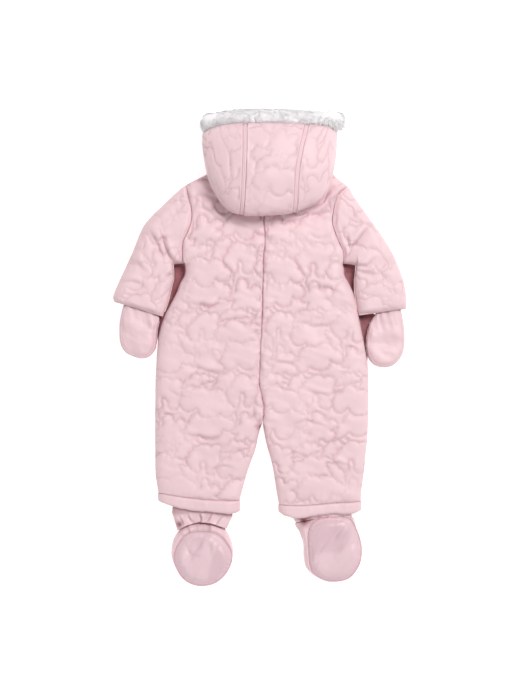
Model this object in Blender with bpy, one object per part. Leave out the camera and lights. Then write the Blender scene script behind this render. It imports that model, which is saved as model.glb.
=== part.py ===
"""Quilted pramsuit for a baby of 3 to 6 months, lying face down on a flat surface.

Frame: metres, +Z up, +Y towards the hood, z = 0 is the surface under the suit. The suit's back
faces up. Its wadded cloth is a wall about 13 mm thick, so the front and the back lie on each other
as two layers, each with its own seams. All tables are in millimetres, and every row is one section,
ring or point of a pattern edge, read from the feet to the neck or from the shoulder to the hand.
Left and right are as seen from above, with the hood away from the viewer.
"""
import bpy
import numpy as np

MM = 0.001
SHIFT_X = 3.7          # moves the measured tables so that the box of the suit is centred
SHIFT_Y = 7.1

MID = 13.5             # height of the side seams, where front and back meet
TOP = 27.0             # height of the back cloth's outer side
SEAM_GAP = 0.3         # between two pieces that are sewn together
EDGE = 3.0             # wadded cloth left at a seam
ROLL = 17.0            # how far a side edge takes to reach full height
SEAM_DIP = 0.42        # part of the height that a flat seam pulls down
SEAM_DIP_WIDTH = 8.0

NECK_MIDDLE = 11.0     # the neck hole: middle, half width and the depth of its two curves
NECK_HALF = 85.0
NECK_SIDE_Y = 237.0
NECK_Y = 205.0

ZIP_X = 0.0
ZIP_HALF_GAP = 4.8     # cloth edge to the middle of the zip
ZIP_BOTTOM_Y = -95.0
ZIP_LOW = -124.0       # the split closes between these heights, below the zip
ZIP_HIGH = -101.0

# Pattern edges of the body: y, x of the side. The armholes go on from the sides.
LEFT_BACK = (
    (-217.0, -144.8),
    (-203.0, -146.7),
    (-190.0, -148.2),
    (-175.0, -149.2),
    (-160.0, -149.4),
    (-145.0, -149.5),
    (-130.0, -149.5),
    (-120.0, -149.5),
    (-110.0, -149.5),
    (-97.0, -149.5),
    (-80.0, -149.4),
    (-60.0, -149.2),
    (-35.0, -148.2),
    (-10.0, -146.6),
    (10.0, -144.3),
    (25.0, -140.6),
    (40.0, -135.3),
    (55.0, -127.4),
    (70.0, -119.6),
    (84.0, -114.2),
    (95.0, -108.4),
    (104.0, -107.2),
)
LEFT_ARMHOLE = (
    (111.5, -108.6),
    (114.0, -110.0),
    (120.0, -111.0),
    (130.0, -111.4),
    (141.0, -110.2),
    (155.0, -104.0),
    (170.0, -98.8),
    (185.0, -98.4),
    (200.0, -102.0),
    (211.0, -104.4),
    (217.0, -105.5),
    (221.0, -106.2),
)
RIGHT_BACK = (
    (-217.0, 137.0),
    (-203.0, 137.8),
    (-190.0, 139.6),
    (-175.0, 141.6),
    (-160.0, 143.2),
    (-145.0, 144.7),
    (-130.0, 146.0),
    (-120.0, 146.6),
    (-110.0, 147.0),
    (-97.0, 147.3),
    (-80.0, 147.5),
    (-60.0, 147.5),
    (-35.0, 146.7),
    (-10.0, 142.9),
    (10.0, 139.0),
    (25.0, 136.0),
    (40.0, 133.0),
    (55.0, 130.0),
    (70.0, 126.0),
    (84.0, 119.6),
    (95.0, 113.8),
    (104.0, 113.0),
)
RIGHT_ARMHOLE = (
    (111.0, 111.6),
    (113.5, 112.0),
    (119.0, 112.6),
    (128.0, 111.6),
    (139.0, 106.6),
    (153.0, 101.0),
    (168.0, 96.8),
    (183.0, 98.0),
    (198.0, 101.6),
    (209.0, 107.0),
    (215.0, 113.6),
    (219.0, 118.0),
)
# Centre seam down to the crotch and the inside leg edges below it, as y, left x, right x.
INNER_EDGE = (
    (-217.0, -31.6, 22.6),
    (-203.0, -27.6, 19.6),
    (-190.0, -24.2, 17.3),
    (-175.0, -19.6, 14.5),
    (-160.0, -14.2, 11.0),
    (-145.0, -9.0, 6.7),
    (-130.0, -6.2, 3.2),
    (-120.0, -3.9, 1.6),
    (-110.0, -0.6, 0.4),
    (-97.0, 1.8, 1.8),
    (-80.0, 0.6, 0.6),
    (-60.0, -4.0, -4.0),
    (-35.0, -3.9, -3.9),
    (-10.0, -3.0, -3.0),
    (10.0, -2.0, -2.0),
    (25.0, -1.2, -1.2),
    (40.0, -0.5, -0.5),
    (55.0, 0.0, 0.0),
    (70.0, 0.0, 0.0),
    (84.0, 0.4, 0.4),
    (95.0, 0.9, 0.9),
    (104.0, 1.0, 1.0),
    (120.0, 1.5, 1.5),
    (130.0, 2.4, 2.4),
    (141.0, 3.4, 3.4),
    (155.0, 3.2, 3.2),
    (170.0, 2.2, 2.2),
    (185.0, 2.0, 2.0),
    (206.0, 2.0, 2.0),
)
# The front shows past the back under each arm: y, how much further out its side lies there.
LEFT_FRONT_EXTRA = ((-217.0, 0.0), (10.0, 0.0), (25.0, 0.4), (40.0, 1.4), (55.0, 3.2), (70.0, 6.2),
                    (84.0, 9.2), (95.0, 12.4), (104.0, 12.6), (109.0, 8.0), (111.5, 0.0), (221.0, 0.0))
RIGHT_FRONT_EXTRA = ((-217.0, 0.0), (-10.0, 0.0), (10.0, 1.6), (25.0, 2.4), (40.0, 0.4), (55.0, 0.6),
                     (70.0, 1.8), (84.0, 6.0), (95.0, 12.6), (104.0, 14.2), (108.5, 9.0), (111.0, 0.0),
                     (219.0, 0.0))

# Largest soft folds of the back: x, y of one end; x, y of the other; half width; depth.
BACK_FOLDS = (
    (-96.0, 203.0, -58.0, 176.0, 11.0, 3.4),
    (66.0, 184.0, 100.0, 214.0, 11.0, 3.4),
    (-104.0, 92.0, -66.0, 66.0, 12.0, 2.8),
    (112.0, 92.0, 72.0, 100.0, 12.0, 2.6),
    (-128.0, 30.0, -86.0, 14.0, 13.0, 2.4),
    (-6.0, -84.0, -12.0, -104.0, 8.0, 3.0),
    (-44.0, -70.0, -8.0, -78.0, 10.0, 2.2),
    (14.0, -60.0, 52.0, -84.0, 12.0, 2.4),
    (-140.0, -60.0, -104.0, -66.0, 12.0, 2.4),
    (104.0, -150.0, 138.0, -142.0, 12.0, 2.2),
    (-96.0, -160.0, -58.0, -164.0, 12.0, 2.4),
)

# Hem lines of the legs: x, y where the quilted cloth ends, y of the band's lower edge.
LEFT_HEM = (
    (-147.0, -207.3, -218.6),
    (-130.0, -210.2, -224.3),
    (-115.0, -212.6, -228.8),
    (-100.0, -214.6, -231.4),
    (-80.0, -217.0, -233.2),
    (-60.0, -217.8, -234.8),
    (-42.0, -218.4, -236.0),
    (-31.0, -217.6, -232.6),
)
RIGHT_HEM = (
    (22.0, -223.8, -234.2),
    (34.0, -224.8, -239.6),
    (46.0, -225.2, -242.8),
    (60.0, -225.0, -241.4),
    (80.0, -223.2, -237.6),
    (100.0, -221.6, -235.6),
    (120.0, -220.6, -236.4),
    (138.0, -219.4, -231.6),
)

# Rings of a sleeve from the armhole to the hem: shoulder side x, y; underarm side x, y;
# height as a part of the full height; how much of the armhole's curve is left;
# wall at the two folded edges; height of the hollow inside.
LEFT_SLEEVE = (
    (-107.8, 221.0, -110.2, 111.5, 0.62, 1.00, 11.0, 1.5),
    (-112.0, 217.2, -114.8, 111.0, 0.98, 0.80, 11.0, 1.5),
    (-124.0, 206.8, -120.6, 110.4, 0.96, 0.42, 11.0, 1.5),
    (-138.0, 193.2, -124.6, 108.6, 1.00, 0.15, 11.0, 1.5),
    (-153.0, 179.0, -123.4, 100.4, 0.94, 0.00, 11.0, 1.5),
    (-166.6, 161.8, -123.4, 91.0, 1.00, 0.00, 11.0, 1.5),
    (-181.6, 125.6, -127.7, 72.9, 0.97, 0.00, 11.0, 1.5),
    (-195.0, 96.4, -131.0, 58.4, 1.00, 0.00, 10.0, 4.0),
    (-203.2, 78.6, -133.8, 50.2, 1.00, 0.00, 7.5, 10.0),
    (-207.8, 65.8, -136.4, 43.6, 0.97, 0.00, 5.0, 12.4),
    (-206.8, 58.2, -138.6, 37.2, 0.90, 0.00, 3.6, 12.4),
)
RIGHT_SLEEVE = (
    (119.7, 219.0, 113.3, 111.0, 0.62, 1.00, 11.0, 1.5),
    (122.6, 213.8, 118.4, 110.4, 0.98, 0.80, 11.0, 1.5),
    (128.6, 203.6, 125.0, 109.6, 0.96, 0.42, 11.0, 1.5),
    (137.4, 190.8, 130.0, 107.4, 1.00, 0.15, 11.0, 1.5),
    (149.0, 174.6, 129.2, 99.6, 0.94, 0.00, 11.0, 1.5),
    (163.4, 154.2, 127.8, 88.6, 1.00, 0.00, 11.0, 1.5),
    (181.2, 125.6, 128.1, 72.8, 0.97, 0.00, 11.0, 1.5),
    (191.6, 101.0, 129.8, 60.2, 1.00, 0.00, 10.0, 4.0),
    (197.2, 83.8, 131.2, 52.2, 1.00, 0.00, 7.5, 10.0),
    (200.2, 65.8, 132.4, 45.0, 0.97, 0.00, 5.0, 12.4),
    (200.4, 48.4, 133.6, 38.8, 0.90, 0.00, 3.6, 12.4),
)

# Pattern edge of a mitten, clockwise from the wrist's outer corner: x, y.
LEFT_MITTEN = (
    (-189.0, 62.0), (-193.6, 52.0), (-196.6, 42.0), (-199.2, 29.0), (-199.6, 15.0), (-199.0, 4.0),
    (-196.0, -5.5), (-190.4, -12.8), (-182.0, -17.4), (-171.0, -20.8), (-160.8, -19.8),
    (-154.0, -14.8), (-149.2, -7.6), (-147.4, 2.0), (-147.2, 12.0), (-146.0, 22.0), (-143.8, 31.0),
    (-144.4, 38.0), (-148.4, 45.0), (-154.0, 51.5), (-171.0, 58.0),
)
RIGHT_MITTEN = (
    (187.0, 55.0), (191.4, 48.0), (194.2, 40.0), (196.4, 29.0), (198.0, 15.0), (198.0, 0.0),
    (196.0, -12.0), (191.0, -22.0), (184.0, -29.0), (175.0, -32.8), (165.0, -33.0), (155.4, -29.8),
    (148.8, -22.0), (145.6, -12.0), (144.4, -3.0), (144.9, 8.0), (146.9, 19.0), (149.6, 28.0),
    (154.6, 35.4), (157.6, 42.0), (160.6, 50.0), (174.0, 54.0),
)
MITTEN_TOP = 20.0      # the mitten's body, and its wrist inside the sleeve's hem
MITTEN_MID = 10.0
WRIST_TOP = 18.9
WRIST_BOTTOM = 8.3
WRIST_BLEND = 20.0
WRIST_END = -5.0

# Ankle of a bootie from inside the leg band to the gathers: y of both ends is read from the band and
# from the gathers; outer x, inner x, lowest z, highest z, height of the hollow.
LEFT_ANKLE = (
    (0.0, -124.5, -42.5, 7.4, 19.6, 1.5),
    (0.4, -126.0, -41.8, 6.8, 19.7, 1.5),
    (1.0, -118.6, -49.6, 2.0, 20.0, 1.5),
)
RIGHT_ANKLE = (
    (0.0, 42.5, 122.0, 7.4, 19.6, 1.5),
    (0.4, 41.0, 123.2, 6.8, 19.6, 1.5),
    (1.0, 46.0, 124.6, 7.0, 19.4, 1.5),
)
BAND_ABOVE = 11.3      # a leg band's reach above and below the side seams, its wall and its hollow
BAND_BELOW = 12.3
BAND_WALL = 4.0
BAND_HOLLOW = 14.0
ANKLE_INSIDE = 7.0     # length of the ankle hidden in the leg band
LEFT_GATHERS = ((-118.8, -259.0), (-110.0, -253.4), (-100.0, -249.6), (-89.0, -247.2), (-75.0, -247.8),
                (-62.0, -251.4), (-49.4, -256.0))
RIGHT_GATHERS = ((46.0, -247.0), (60.0, -244.4), (80.0, -240.6), (96.0, -238.8), (112.0, -238.8),
                 (124.8, -240.4))

# Pattern edges of the booties, clockwise: x, y of the upper's edge, x, y of the sole's edge.
LEFT_BOOTIE = (
    (-82.0, -248.4, -84.0, -262.6),
    (-68.0, -250.6, -69.0, -264.0),
    (-55.0, -255.6, -58.6, -269.4),
    (-46.6, -267.0, -50.8, -278.6),
    (-41.6, -281.0, -44.6, -288.6),
    (-41.0, -296.0, -42.6, -299.6),
    (-45.0, -312.0, -46.6, -311.6),
    (-54.0, -325.4, -55.4, -324.0),
    (-67.0, -334.6, -68.0, -333.0),
    (-83.0, -338.0, -83.4, -336.4),
    (-99.0, -335.4, -98.4, -333.8),
    (-112.0, -327.0, -111.0, -325.4),
    (-121.8, -311.4, -119.8, -311.4),
    (-126.8, -297.0, -122.4, -299.0),
    (-126.4, -282.0, -120.0, -286.0),
    (-122.0, -268.4, -113.4, -274.4),
    (-111.0, -255.4, -105.0, -266.0),
    (-97.0, -249.6, -95.0, -262.8),
)
RIGHT_BOOTIE = (
    (99.0, -239.8, 100.0, -241.4),
    (113.0, -240.2, 112.0, -242.0),
    (126.6, -243.0, 122.6, -246.6),
    (131.4, -256.0, 128.6, -256.6),
    (135.8, -268.6, 133.6, -269.0),
    (139.0, -284.0, 136.8, -284.6),
    (138.0, -300.6, 136.0, -300.4),
    (132.4, -314.4, 130.6, -313.4),
    (121.4, -326.8, 120.4, -325.2),
    (105.0, -331.6, 104.6, -330.0),
    (87.0, -330.6, 87.4, -329.0),
    (71.0, -323.0, 73.4, -321.0),
    (60.6, -312.0, 67.4, -311.0),
    (57.2, -296.0, 65.4, -296.0),
    (56.6, -279.0, 64.4, -280.0),
    (51.6, -263.6, 64.4, -264.0),
    (46.6, -249.4, 69.6, -251.4),
    (76.0, -242.8, 83.0, -243.0),
)
UPPER_MID = 9.0        # widest height of the upper, its rim, and its inside under the sole
UPPER_RIM = 18.4
UPPER_SEAM = 16.6
UPPER_INSIDE = 10.2
SOLE_EDGE = 2.0
SOLE_TOP = 24.4

# Sections of the hood from the neck seam over the crown to the mouth. The crown's y and z; the
# sides' y and z, left x and right x; the y and z that the cloth tends to under the cheeks;
# the angle round the arch, 0 at the crown and 90 at the sides, where the face opening cuts it.
HOOD = (
    (205.8, 28.6, 238.4, 15.0, -74.0, 96.0, 205.8, 5.0, 171.0),
    (190.0, 29.6, 245.0, 18.0, -77.0, 98.4, 209.0, 4.6, 161.0),
    (178.6, 35.0, 253.0, 20.0, -80.0, 100.4, 215.0, 4.4, 151.0),
    (174.8, 46.0, 262.0, 21.0, -82.0, 102.0, 223.0, 4.4, 141.0),
    (181.0, 60.0, 268.0, 22.0, -83.4, 102.6, 238.0, 4.4, 131.0),
    (202.0, 71.0, 274.0, 22.5, -84.3, 102.9, 254.0, 5.0, 122.0),
    (234.0, 75.0, 280.0, 23.0, -84.5, 103.2, 268.0, 6.0, 114.0),
    (266.0, 72.0, 286.0, 23.5, -84.0, 103.5, 280.0, 8.6, 107.0),
    (291.0, 62.0, 290.0, 24.0, -83.0, 103.5, 288.0, 12.6, 101.0),
    (304.0, 51.0, 291.0, 25.0, -81.0, 103.0, 291.0, 20.0, 96.0),
)
# How far the arch has come down from the crown's y to the sides' y: angle, left, right.
HOOD_CORNER = (
    (0.0, 0.0, 0.0),
    (12.0, 0.0, 0.017),
    (26.0, 0.017, 0.08),
    (33.0, 0.052, 0.126),
    (41.0, 0.126, 0.176),
    (50.0, 0.264, 0.245),
    (58.0, 0.402, 0.345),
    (65.0, 0.540, 0.450),
    (71.0, 0.690, 0.640),
    (78.0, 0.862, 0.800),
    (90.0, 1.0, 1.0),
)
# The two seams along the hood: section number, x of the left seam, x of the right seam.
HOOD_SEAMS = (
    (0.0, -26.0, 41.0),
    (3.0, -29.0, 44.0),
    (4.0, -28.6, 45.0),
    (5.0, -27.0, 46.0),
    (6.0, -25.6, 47.6),
    (7.0, -24.6, 53.0),
    (8.0, -24.4, 58.6),
    (9.0, -24.4, 60.4),
)
SEAM_TURN = 0.15       # half the gap at a hood seam, in degrees round the arch
HOOD_WALL = 7.5
HOOD_STATIONS = (0.0, 0.5, 1.0, 1.6, 2.3, 3.0, 3.8, 4.8, 6.0, 7.0, 8.0, 9.0)
HOOD_CLEAR = 0.9       # between the back and the hood that lies on it
NECK_CLEAR = 1.6
OVER_BACK = 6.0        # how far past the neck curve the hood already keeps that height
LEFT_SHOULDER = (LEFT_ARMHOLE[-1][1], LEFT_ARMHOLE[-1][0])
RIGHT_SHOULDER = (RIGHT_ARMHOLE[-1][1], RIGHT_ARMHOLE[-1][0])
FUR_REACH = 12.5       # half the trim's width along the cloth, and half its thickness
FUR_HALF = 11.5
FUR_GAP_CROWN = 0.9    # between the cloth's edge and the trim, wider round the mouth's corners
FUR_GAP_CORNER = 4.9
FUR_GAP_ANGLES = (30.0, 66.0)
FUR_FLARE = 11.0       # how far the trim stands out past the hood at the mouth's corners
FUR_FLARE_START = (50.0, 84.0)
FUR_FLARE_END = (99.0, 118.0)
FUR_SIDES = 8
HOOD_HEART = np.array((NECK_MIDDLE, 255.0, 30.0))

TAPE_HALF = 13.0       # the zip, from the cloth down: tape, coil, slider, its bail and its tab
TAPE_BOTTOM = 6.9
TAPE_TOP = 7.9
COIL_HALF = 2.2
COIL_BOTTOM = 5.2
SLIDER_HALF_WIDTH = 4.0
SLIDER_LENGTH = 11.0
SLIDER_BOTTOM = 3.4
SLIDER_TOP = 4.9
SLIDER_Y = 186.0
BAIL_HALF_WIDTH = 0.9
BAIL_HALF_LENGTH = 2.4
BAIL_THICKNESS = 0.7
BAIL_DROP = 1.1
AXIS_Z = 2.2
TAB_BAR = 1.2
TAB_HALF_WIDTH = 2.8
TAB_THICKNESS = 1.1
TAB_LENGTH = 21.0
TAB_EYE_HALF_WIDTH = 1.4
TAB_EYE_LENGTH = 3.6

# Rows of a body half: y up to the underarm, then parts of the way to the neck curve.
LOWER_ROWS = (-217.0, -213.5, -205.0, -184.0, -158.0, -132.0, -115.0, -98.0, -72.0, -44.0, -15.0, 12.0,
              38.0, 60.0, 80.0, 95.0, 104.0)
UPPER_START = 0.06
CHORD = (0.0, 0.035, 0.12, 0.3, 0.5, 0.7, 0.88, 0.965, 1.0)


def material(name, colour, roughness, metallic=0.0):
    """A Principled material of one plain colour."""
    shade = bpy.data.materials.new(name)
    shade.use_nodes = True
    principled = shade.node_tree.nodes["Principled BSDF"]
    principled.inputs["Base Color"].default_value = (*colour, 1.0)
    principled.inputs["Roughness"].default_value = roughness
    principled.inputs["Metallic"].default_value = metallic
    return shade


def curve(table, column, at):
    """Smooth value of one column of a table at positions along its first column."""
    rows = np.array(table, dtype=float)
    at = np.clip(np.asarray(at, dtype=float), rows[0, 0], rows[-1, 0])
    where, value = rows[:, 0], rows[:, column]
    slope = np.gradient(value, where)
    i = np.clip(np.searchsorted(where, at) - 1, 0, len(where) - 2)
    step = where[i + 1] - where[i]
    t = (at - where[i]) / step
    start = (1 + 2 * t) * (1 - t) ** 2 * value[i] + t * (1 - t) ** 2 * step * slope[i]
    end = t * t * (3 - 2 * t) * value[i + 1] + t * t * (t - 1) * step * slope[i + 1]
    return start + end


def closed_curve(points, count):
    """Smooth closed line through points of any size, resampled with count points."""
    points = np.array(points, dtype=float)
    size = len(points)
    at = np.arange(count) * size / count
    i = at.astype(int)
    t = (at - i)[:, None]
    before, start, end, after = (points[(i + k) % size] for k in (-1, 0, 1, 2))
    return 0.5 * (2 * start + (end - before) * t + (2 * before - 5 * start + 4 * end - after) * t ** 2
                  + (3 * start - before - 3 * end + after) * t ** 3)


def ease(low, high, at):
    """0 below low, 1 above high, smooth between."""
    t = np.clip((np.asarray(at, dtype=float) - low) / (high - low), 0.0, 1.0)
    return t * t * (3 - 2 * t)


def rounded(distance, reach):
    """Quarter-round profile of a wadded edge: 0 at the edge, 1 at the reach and beyond."""
    t = np.clip(np.asarray(distance, dtype=float) / reach, 0.0, 1.0)
    return np.sqrt(1 - (1 - t) ** 2)


def add_object(name, vertices, faces, shade):
    """One closed body from vertices in millimetres of the tables' frame."""
    points = (np.array(vertices, dtype=float) + (SHIFT_X, SHIFT_Y, 0.0)) * MM
    mesh = bpy.data.meshes.new(name)
    mesh.from_pydata(points.tolist(), [], faces)
    mesh.materials.append(shade)
    mesh.shade_smooth()
    mesh.set_sharp_from_angle(angle=0.7)
    body = bpy.data.objects.new(name, mesh)
    bpy.context.scene.collection.objects.link(body)
    return body


def faces_outward(vertices, faces):
    """The faces, all turned round if the body they close is inside out."""
    volume = 0.0
    for face in faces:
        for a, b in zip(face[1:-1], face[2:]):
            volume += np.dot(vertices[face[0]], np.cross(vertices[a], vertices[b]))
    return faces if volume > 0 else [face[::-1] for face in faces]


def slab(name, upper, lower, shade):
    """Wall between two grids of points of the same size, closed along their four edges."""
    rows, columns = upper.shape[:2]
    count = rows * columns
    vertices = np.vstack((upper.reshape(-1, 3), lower.reshape(-1, 3)))
    faces = []
    for r in range(rows - 1):
        for c in range(columns - 1):
            a = r * columns + c
            quad = (a, a + 1, a + columns + 1, a + columns)
            faces.append(quad)
            faces.append(tuple(count + k for k in quad[::-1]))
    border = [c for c in range(columns)]
    border += [r * columns + columns - 1 for r in range(1, rows)]
    border += [(rows - 1) * columns + c for c in range(columns - 2, -1, -1)]
    border += [r * columns for r in range(rows - 2, 0, -1)]
    for a, b in zip(border, border[1:] + border[:1]):
        faces.append((b, a, count + a, count + b))
    return add_object(name, vertices, faces_outward(vertices, faces), shade)


def tube(name, outer, inner, shade):
    """Hollow tube open at both ends, between outer and inner rings of the same size."""
    rings, around = outer.shape[:2]
    count = rings * around
    vertices = np.vstack((outer.reshape(-1, 3), inner.reshape(-1, 3)))
    faces = []
    for r in range(rings - 1):
        for c in range(around):
            d = (c + 1) % around
            quad = (r * around + c, r * around + d, (r + 1) * around + d, (r + 1) * around + c)
            faces.append(quad)
            faces.append(tuple(count + k for k in quad[::-1]))
    for c in range(around):
        d = (c + 1) % around
        last = (rings - 1) * around
        faces.append((d, c, count + c, count + d))
        faces.append((last + c, last + d, count + last + d, count + last + c))
    return add_object(name, vertices, faces_outward(vertices, faces), shade)


def pad(name, upper_rings, lower_rings, shade):
    """Pad closed by two stacks of rings, each ending in a middle point; they share the first ring."""
    around = upper_rings.shape[1]
    vertices = np.vstack((upper_rings.reshape(-1, 3), lower_rings[1:].reshape(-1, 3),
                          upper_rings[-1].mean(axis=0), lower_rings[-1].mean(axis=0)))
    upper_starts = [k * around for k in range(len(upper_rings))]
    lower_starts = [0] + [(len(upper_rings) + k) * around for k in range(len(lower_rings) - 1)]
    faces = []
    stacks = ((upper_starts, len(vertices) - 2, 1), (lower_starts, len(vertices) - 1, -1))
    for starts, middle, turn in stacks:
        for c in range(around):
            d = (c + 1) % around
            for a_ring, b_ring in zip(starts[:-1], starts[1:]):
                faces.append((a_ring + c, a_ring + d, b_ring + d, b_ring + c)[::turn])
            faces.append((starts[-1] + c, starts[-1] + d, middle)[::turn])
    return add_object(name, vertices, faces_outward(vertices, faces), shade)


def box(name, low, high, shade):
    """Plain block between two corners."""
    corners = np.array([low, high], dtype=float)
    grids = [np.array([[(corners[i, 0], corners[j, 1], z) for j in (0, 1)] for i in (0, 1)])
             for z in corners[::-1, 2]]
    return slab(name, grids[0], grids[1], shade)


# ---- the body's two layers -------------------------------------------------------------------


def neck_y(x, depth_y):
    """Neck curve of the front or the back, down to depth_y at its middle."""
    return depth_y + (NECK_SIDE_Y - depth_y) * ((np.asarray(x) - NECK_MIDDLE) / NECK_HALF) ** 2


def top_y(x, depth_y, shoulder):
    """Upper pattern edge of a half: neck curve, then the shoulder's straight edge."""
    side = np.sign(shoulder[0])
    neck_x = NECK_MIDDLE + side * NECK_HALF
    along = (np.asarray(x) - neck_x) / (shoulder[0] - neck_x)
    return np.where(along > 0, NECK_SIDE_Y + (shoulder[1] - NECK_SIDE_Y) * along, neck_y(x, depth_y))


def body_side(table, y):
    return curve(table, 1, y)


def front_extra(extra, y):
    """How much further out the side of the front lies than the side of the back."""
    return np.interp(y, [row[0] for row in extra], [row[1] for row in extra])


def fold_depth(x, y):
    """Depth of the back's large soft folds at a place."""
    depth = np.zeros(np.broadcast(x, y).shape)
    for x0, y0, x1, y1, reach, deep in BACK_FOLDS:
        run = (x1 - x0) ** 2 + (y1 - y0) ** 2
        along = ((x - x0) * (x1 - x0) + (y - y0) * (y1 - y0)) / run
        near = np.clip(along, 0.0, 1.0)
        away = np.hypot(x - x0 - near * (x1 - x0), y - y0 - near * (y1 - y0))
        depth += deep * np.exp(-(away / reach) ** 2) * (1 - 0.5 * np.abs(2 * near - 1) ** 2)
    return depth


def body_fill(table, x, y, depth_y, shoulder, hem, inner_x):
    """0 to 1: how much of its full height the wadding has at a place of a body half."""
    side = np.sign(shoulder[0])
    to_side = side * (body_side(table, y) - x)
    to_inner = side * (x - inner_x)
    to_top = top_y(x, depth_y, shoulder) - y
    to_hem = y - curve(hem, 1, x)
    armhole = ease(106.0, 114.0, y)
    joined = ease(-124.0, -108.0, y)
    at_side = rounded(to_side, ROLL) * (1 - armhole) + armhole * (
        1 - SEAM_DIP * (1 - rounded(to_side, SEAM_DIP_WIDTH)))
    at_inner = rounded(to_inner, ROLL) * (1 - joined) + joined * (
        1 - SEAM_DIP * (1 - rounded(to_inner, SEAM_DIP_WIDTH)))
    shoulder_part = ease(0.0, 14.0, side * (x - NECK_MIDDLE) - NECK_HALF + 6.0)
    at_top = 1 - shoulder_part * (1 - rounded(to_top, ROLL))
    at_hem = 1 - SEAM_DIP * (1 - rounded(to_hem, SEAM_DIP_WIDTH))
    return at_side * at_inner * at_top * at_hem


def half_plan(table, extra, armhole, hem, depth_y, zip_edge):
    """Plan of a body half as a grid of x and y, from its inner seam to its side."""
    full = table + armhole
    shoulder = (armhole[-1][1], armhole[-1][0])
    side = np.sign(shoulder[0])
    column = 1 if side < 0 else 2
    extra_side = [extra[-3][0]] if extra else []
    extra_inner = [LOWER_ROWS[-1] + 3.0] if extra else []
    armhole_y = armhole[0][0] + (armhole[-1][0] - armhole[0][0]) * np.array(CHORD)
    y_side = np.concatenate((LOWER_ROWS, extra_side, armhole_y))
    top_inner = float(neck_y(side * ZIP_HALF_GAP if zip_edge else INNER_EDGE[-1][column], depth_y))
    parts = UPPER_START + (1 - UPPER_START) * np.array(CHORD)
    upper = LOWER_ROWS[-1] + (top_inner - LOWER_ROWS[-1]) * parts
    y_inner = np.concatenate((LOWER_ROWS, extra_inner, upper))
    x_side = body_side(full, y_side)
    if extra:
        x_side = x_side + side * front_extra(extra, y_side)
    x_inner = curve(INNER_EDGE, column, y_inner) + side * SEAM_GAP / 2
    if zip_edge:
        to_zip = ease(ZIP_LOW, ZIP_HIGH, y_inner)
        x_inner = x_inner * (1 - to_zip) + (ZIP_X + side * ZIP_HALF_GAP) * to_zip
    chord = np.array(CHORD)[None]
    x = x_inner[:, None] + (x_side - x_inner)[:, None] * chord
    y = y_inner[:, None] + (y_side - y_inner)[:, None] * chord
    inner_top = top_y(x_inner, depth_y, shoulder)[:, None]
    side_top = top_y(x_side, depth_y, shoulder)[:, None]
    lift = ease(125.0, shoulder[1], y_side)[:, None]
    y = y + lift * (top_y(x, depth_y, shoulder) - inner_top - (side_top - inner_top) * chord)
    sink = 1 - ease(LOWER_ROWS[0], -165.0, y_side)[:, None]
    y = y + sink * (curve(hem, 1, x) + SEAM_GAP - LOWER_ROWS[0])
    return full, shoulder, x, y, x_inner[:, None] * np.ones_like(x)


def back_top(full, shoulder, hem, x, y, inner_x):
    fill = body_fill(full, x, y, NECK_Y, shoulder, hem, inner_x)
    return MID + EDGE + (TOP - MID - EDGE - fold_depth(x, y)) * fill


def back_half(name, table, armhole, hem, shade):
    """Back: flat inner side on the front, outer side rounded down to the seams."""
    full, shoulder, x, y, inner_x = half_plan(table, None, armhole, hem, NECK_Y, False)
    upper = np.dstack((x, y, back_top(full, shoulder, hem, x, y, inner_x)))
    lower = np.dstack((x, y, np.full_like(x, MID + SEAM_GAP)))
    return slab(name, upper, lower, shade)


def front_half(name, table, extra, armhole, hem, shade):
    """Front: flat outer side on the surface, inner side lower where it shows under the arm."""
    full, shoulder, x, y, inner_x = half_plan(table, extra, armhole, hem, NECK_Y, True)
    side = np.sign(shoulder[0])
    wide = tuple((row[0], row[1] + side * float(front_extra(extra, row[0]))) for row in full)
    fill = body_fill(wide, x, y, NECK_Y, shoulder, hem, inner_x)
    beyond = ease(-3.0, 6.0, side * (x - body_side(full, y))) * (front_extra(extra, y) > 0.3)
    under_zip = ease(ZIP_LOW, ZIP_HIGH, y) * (1 - ease(25.0, 38.0, np.abs(x - ZIP_X)))
    ceiling = MID - SEAM_GAP - 3.6 * beyond
    ceiling = ceiling * (1 - under_zip) + (TAPE_BOTTOM - SEAM_GAP) * under_zip
    floor = (MID - EDGE) * (1 - fill)
    floor = np.minimum(floor, ceiling - EDGE)
    upper = np.dstack((x, y, ceiling))
    lower = np.dstack((x, y, floor))
    return slab(name, upper, lower, shade)


# ---- sleeves, mittens, leg bands and booties ---------------------------------------------------


def flat_ring(plan, low, high, reach):
    """Ring of a flattened tube over a line of plan points that runs between its folded edges."""
    width = np.linalg.norm(plan[-1] - plan[0])
    chord = np.array(CHORD)
    rise = rounded(np.minimum(chord, 1 - chord) * width, reach)
    middle = (low + high) / 2
    upper = np.column_stack((plan, middle + (high - middle) * rise))
    lower = np.column_stack((plan, middle - (middle - low) * rise))
    return np.vstack((upper, lower[-2:0:-1]))


def line_plan(x_start, x_end, part, lines):
    """Plan points part of the way between two lines, each given as a table, its column and a shift."""
    x = x_start + (x_end - x_start) * np.array(CHORD)
    above, below = (curve(table, column, x) + shift for table, column, shift in lines)
    return np.column_stack((x, above + (below - above) * part))


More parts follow.
